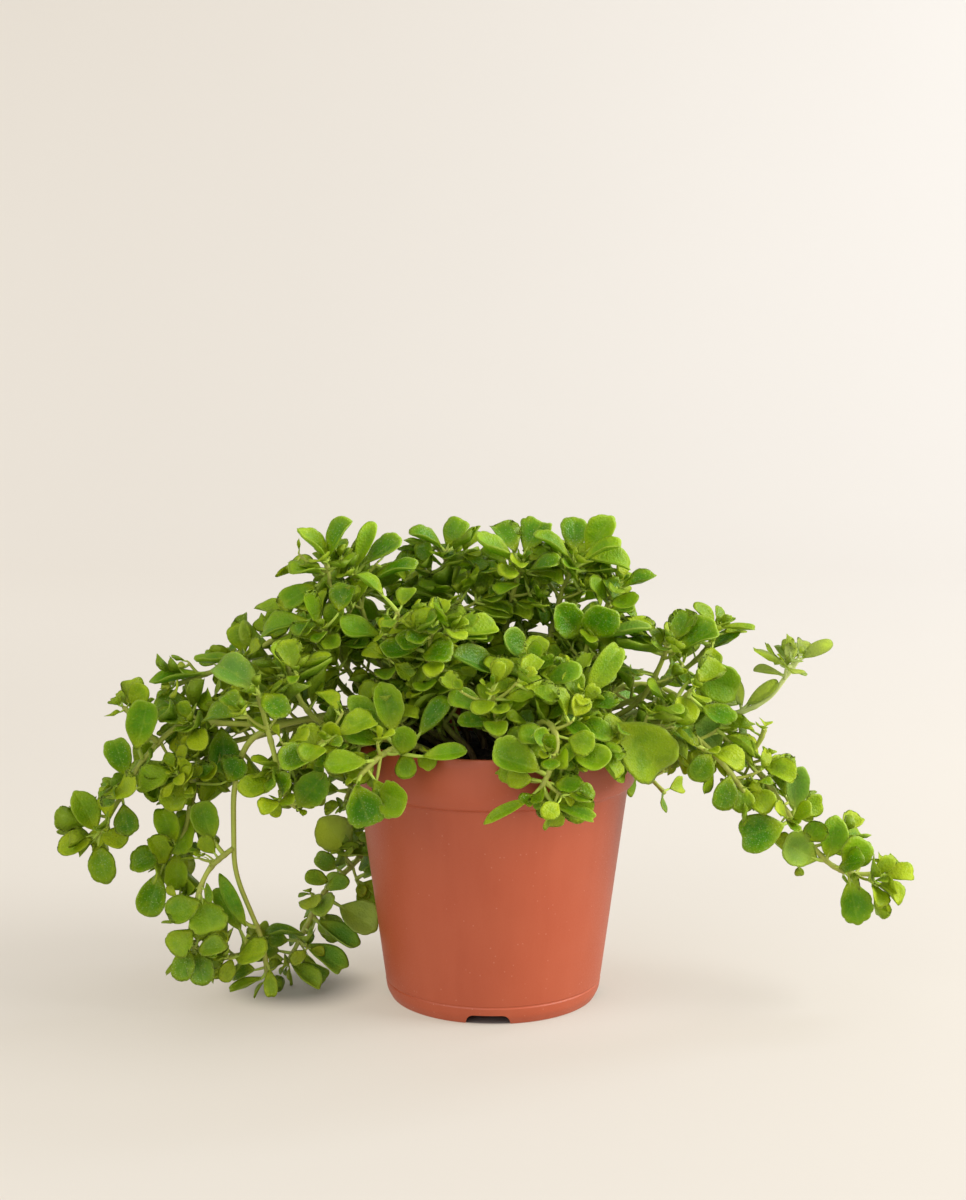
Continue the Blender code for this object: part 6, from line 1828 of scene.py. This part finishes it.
def stem_skin():
    """Succulent stems: pale green stalks, olive stems, and brown bark near the soil and at nodes."""
    skin = Skin("stem_skin", Specular_IOR_Level=0.3)
    old, node, _, paleness = skin.marks()
    streaks = skin.noise(1.2, 4.0, (1, 1, 3))
    worn = skin.math("ADD", old, skin.between(streaks, 0.35, 0.65, -0.08, 0.1), clamp=True)
    green = skin.mix(skin.between(worn, 0.05, 0.32), shade(0.38, 0.52, 0.06), shade(0.37, 0.42, 0.06))
    bark = skin.mix(skin.between(streaks, 0.4, 0.6), shade(0.1, 0.06, 0.028), shade(0.2, 0.14, 0.055))
    colour = skin.mix(skin.between(worn, 0.36, 0.85), green, bark)
    colour = skin.mix(skin.math("MULTIPLY", node, 0.35), colour, shade(0.17, 0.15, 0.045))
    # Stems of pale sprays share their leaves' paleness, which is partly painted backlight
    colour = skin.mix(paleness, colour, PALE_GREEN)
    relief = skin.bump(streaks, 0.4, 0.15)
    return skin.finish(colour, skin.between(streaks, 0.3, 0.7, 0.4, 0.6), relief)


def terracotta():
    """Moulded satin plastic: warm terracotta with soft upright streaks, a fine grain and pale specks."""
    skin = Skin("terracotta_plastic_skin", Specular_IOR_Level=0.6)
    streaks = skin.noise(5.0, 2.0, (1, 1, 9))
    clouds = skin.noise(22.0, 2.0)
    colour = skin.mix(skin.between(streaks, 0.3, 0.7), shade(0.385, 0.064, 0.018), shade(0.4, 0.069, 0.021))
    colour = skin.mix(skin.between(clouds, 0.3, 0.7, 0.0, 0.3), colour, shade(0.43, 0.086, 0.03))
    specks = skin.between(skin.cells(3.2), 0.06, 0.1, 0.3, 0.0)
    colour = skin.mix(specks, colour, shade(0.6, 0.28, 0.18))
    grain = skin.noise(0.5, 4.0)
    relief = skin.bump(grain, 0.22, 0.08)
    relief = skin.bump(streaks, 0.06, 0.15, relief)
    return skin.finish(colour, skin.between(grain, 0.3, 0.7, 0.42, 0.56), relief)


def potting_mix():
    """Moist peat: nearly black fibres and lumps, with brown crumbs of bark."""
    skin = Skin("potting_mix_skin")
    bark = skin.marks()[0]
    lumps = skin.noise(2.5, 6.0)
    fibres = skin.noise(0.6, 5.0, (3, 1, 1))
    colour = skin.mix(skin.between(lumps, 0.35, 0.65), shade(0.012, 0.008, 0.005), shade(0.05, 0.032, 0.02))
    colour = skin.mix(skin.between(fibres, 0.6, 0.72, 0.0, 0.6), colour, shade(0.12, 0.075, 0.04))
    colour = skin.mix(skin.math("MULTIPLY", bark, 0.5), colour, shade(0.1, 0.055, 0.028))
    relief = skin.bump(fibres, 0.6, 0.4, skin.bump(lumps, 0.8, 1.0))
    return skin.finish(colour, skin.between(lumps, 0.3, 0.7, 0.75, 0.98), relief)


def distance(skin, place, middle):
    """The distance on the floor from a middle, given in millimetres."""
    away = [skin.math("SUBTRACT", place[i], middle[i] * MM) for i in (0, 1)]
    return skin.math("SQRT", skin.math("ADD", *[skin.math("POWER", part, 2.0) for part in away]))


def paper():
    """The stage's warm paper, with the faintest clouds in its colour.

    It glows evenly by itself, so shadows on it stay light. Painted shade takes the glow away where the
    pot stands on it, and a painted shadow dims it under the leaves that lie on it.
    """
    skin = Skin("paper_backdrop", Emission_Strength=1.0)
    place = skin.node("SeparateXYZ", {"Vector": skin.place}).outputs
    # Painted shade: no glow under the pot's foot, and a painted shadow under the lying leaves
    from_axis = distance(skin, place, (0, 0))
    painted_shade = skin.between(from_axis, (FOOT_RADIUS - FOOT_WIDTH) * MM, FOOT_RADIUS * MM, 1.0, 0.0)
    from_leaves = distance(skin, place, LYING_LEAVES)
    painted_leaf_shadow = skin.between(from_leaves, 0.3 * LYING_REACH * MM, LYING_REACH * MM, LYING_PAINTED_SHADE, 0.0)
    painted_shade = skin.math("MAXIMUM", painted_shade, painted_leaf_shadow)
    skin.join(skin.mix(painted_shade, PAPER_GLOW, shade(0, 0, 0)), skin.shader.inputs["Emission Color"])
    colour = skin.mix(skin.noise(400.0, 2.0), shade(0.265, 0.263, 0.26), shade(0.275, 0.273, 0.27))
    return skin.finish(colour, 0.8, skin.bump(skin.noise(1.5), 0.05, 0.05))


def backdrop():
    """The stage: one sheet, flat under the plant and curved up behind it."""
    flat = np.linspace(-STAGE_FRONT, STAGE_BACK - STAGE_BEND, 12)
    turn = np.linspace(0, math.pi / 2, 24)
    y = np.concatenate([flat, STAGE_BACK - STAGE_BEND + STAGE_BEND * np.sin(turn[1:]), [STAGE_BACK]])
    z = np.concatenate([0 * flat, STAGE_BEND - STAGE_BEND * np.cos(turn[1:]), [STAGE_TOP]])
    x = np.linspace(-STAGE_SIDE, STAGE_SIDE, 9)
    points = np.stack([x[None] + 0 * y[:, None], y[:, None] + 0 * x[None], z[:, None] + 0 * x[None]], axis=-1)
    start = (np.arange(len(y) - 1) * len(x))[:, None] + np.arange(len(x) - 1)[None]
    faces = np.stack([start, start + 1, start + len(x) + 1, start + len(x)], axis=-1).reshape(-1, 4)
    mesh = bpy.data.meshes.new("backdrop")
    mesh.from_pydata((points.reshape(-1, 3) * MM).tolist(), [], faces.tolist())
    mesh.shade_smooth()
    mesh.materials.append(paper())
    stage = bpy.data.objects.new("backdrop", mesh)
    bpy.context.scene.collection.objects.link(stage)


def lamp(name, place, aim, size, power, colour):
    """A soft square light at a place, in metres, that looks at another."""
    light = bpy.data.lights.new(name, "AREA")
    light.energy = power
    light.size = size
    light.color = colour
    made = bpy.data.objects.new(name, light)
    made.location = place
    made.rotation_euler = (Vector(aim) - Vector(place)).to_track_quat("-Z", "Y").to_euler()
    bpy.context.scene.collection.objects.link(made)


def studio():
    """Soft daylight: a warm white sky, a large lamp at the right, a fill and two on the backdrop."""
    world = bpy.data.worlds.new("soft_daylight")
    world.use_nodes = True
    sky = world.node_tree.nodes["Background"].inputs
    sky["Color"].default_value = shade(1.0, 0.98, 0.945)
    sky["Strength"].default_value = SKY_STRENGTH
    bpy.context.scene.world = world
    lamp("window_light", (1.1, -0.2, 0.7), PLANT_AIM, 0.8, WINDOW_POWER, (1.0, 0.98, 0.93))
    lamp("fill_light", (-0.9, -1.3, 0.9), PLANT_AIM, 1.2, FILL_POWER, (1.0, 0.97, 0.92))
    lamp("backdrop_light", (1.35, 1.0, 1.5), BACKDROP_AIM, 1.0, BACKDROP_POWER, (0.93, 1.0, 1.12))
    lamp("low_backdrop_light", (-1.3, 0.9, 0.5), LOW_BACKDROP_AIM, 0.8, LOW_BACKDROP_POWER,
         (1.0, 0.98, 0.94))
    bpy.context.scene.view_settings.view_transform = "Standard"


def photo_camera():
    """The camera at the photograph's place, level but for its dip."""
    camera = bpy.data.cameras.new("photo_view")
    camera.lens = LENS
    camera.clip_start = 0.01
    made = bpy.data.objects.new("photo_view", camera)
    made.location = Vector(EYE) * MM
    made.rotation_euler = (math.pi / 2 - CAMERA_DIP, 0, 0)
    bpy.context.scene.collection.objects.link(made)
    bpy.context.scene.camera = made


def main():
    """The stage, then the pot, the soil and every spray as finer pieces for their nodes."""
    photo_camera()
    studio()
    backdrop()
    pot_piece()
    soil_piece()
    pot_tree = pot_wall_tree()
    stems = make_stems()
    spread_stems(stems, pot_tree)
    crowd = Crowd(pot_tree)
    for stem in stems:
        crowd.pieces.add(stem.spray, stem_shell(stem))
    leaves = place_leaves(stems, crowd)
    growth = Growth(stems, crowd, leaves)
    skins = [
        leaf_skin("leaf_top_skin", YOUNG_GREEN, OLD_GREEN, DEEP_GREEN, TOP_SEE_THROUGH),
        leaf_skin("leaf_back_skin", YOUNG_BACK, OLD_BACK, DEEP_BACK, BACK_SEE_THROUGH),
        stem_skin(),
    ]
    for name in SPRAYS:
        own = [stem for stem in stems + growth.shoots if stem.spray == name]
        spray_piece(name, own, leaves[name] + growth.leaves[name], skins)


main()
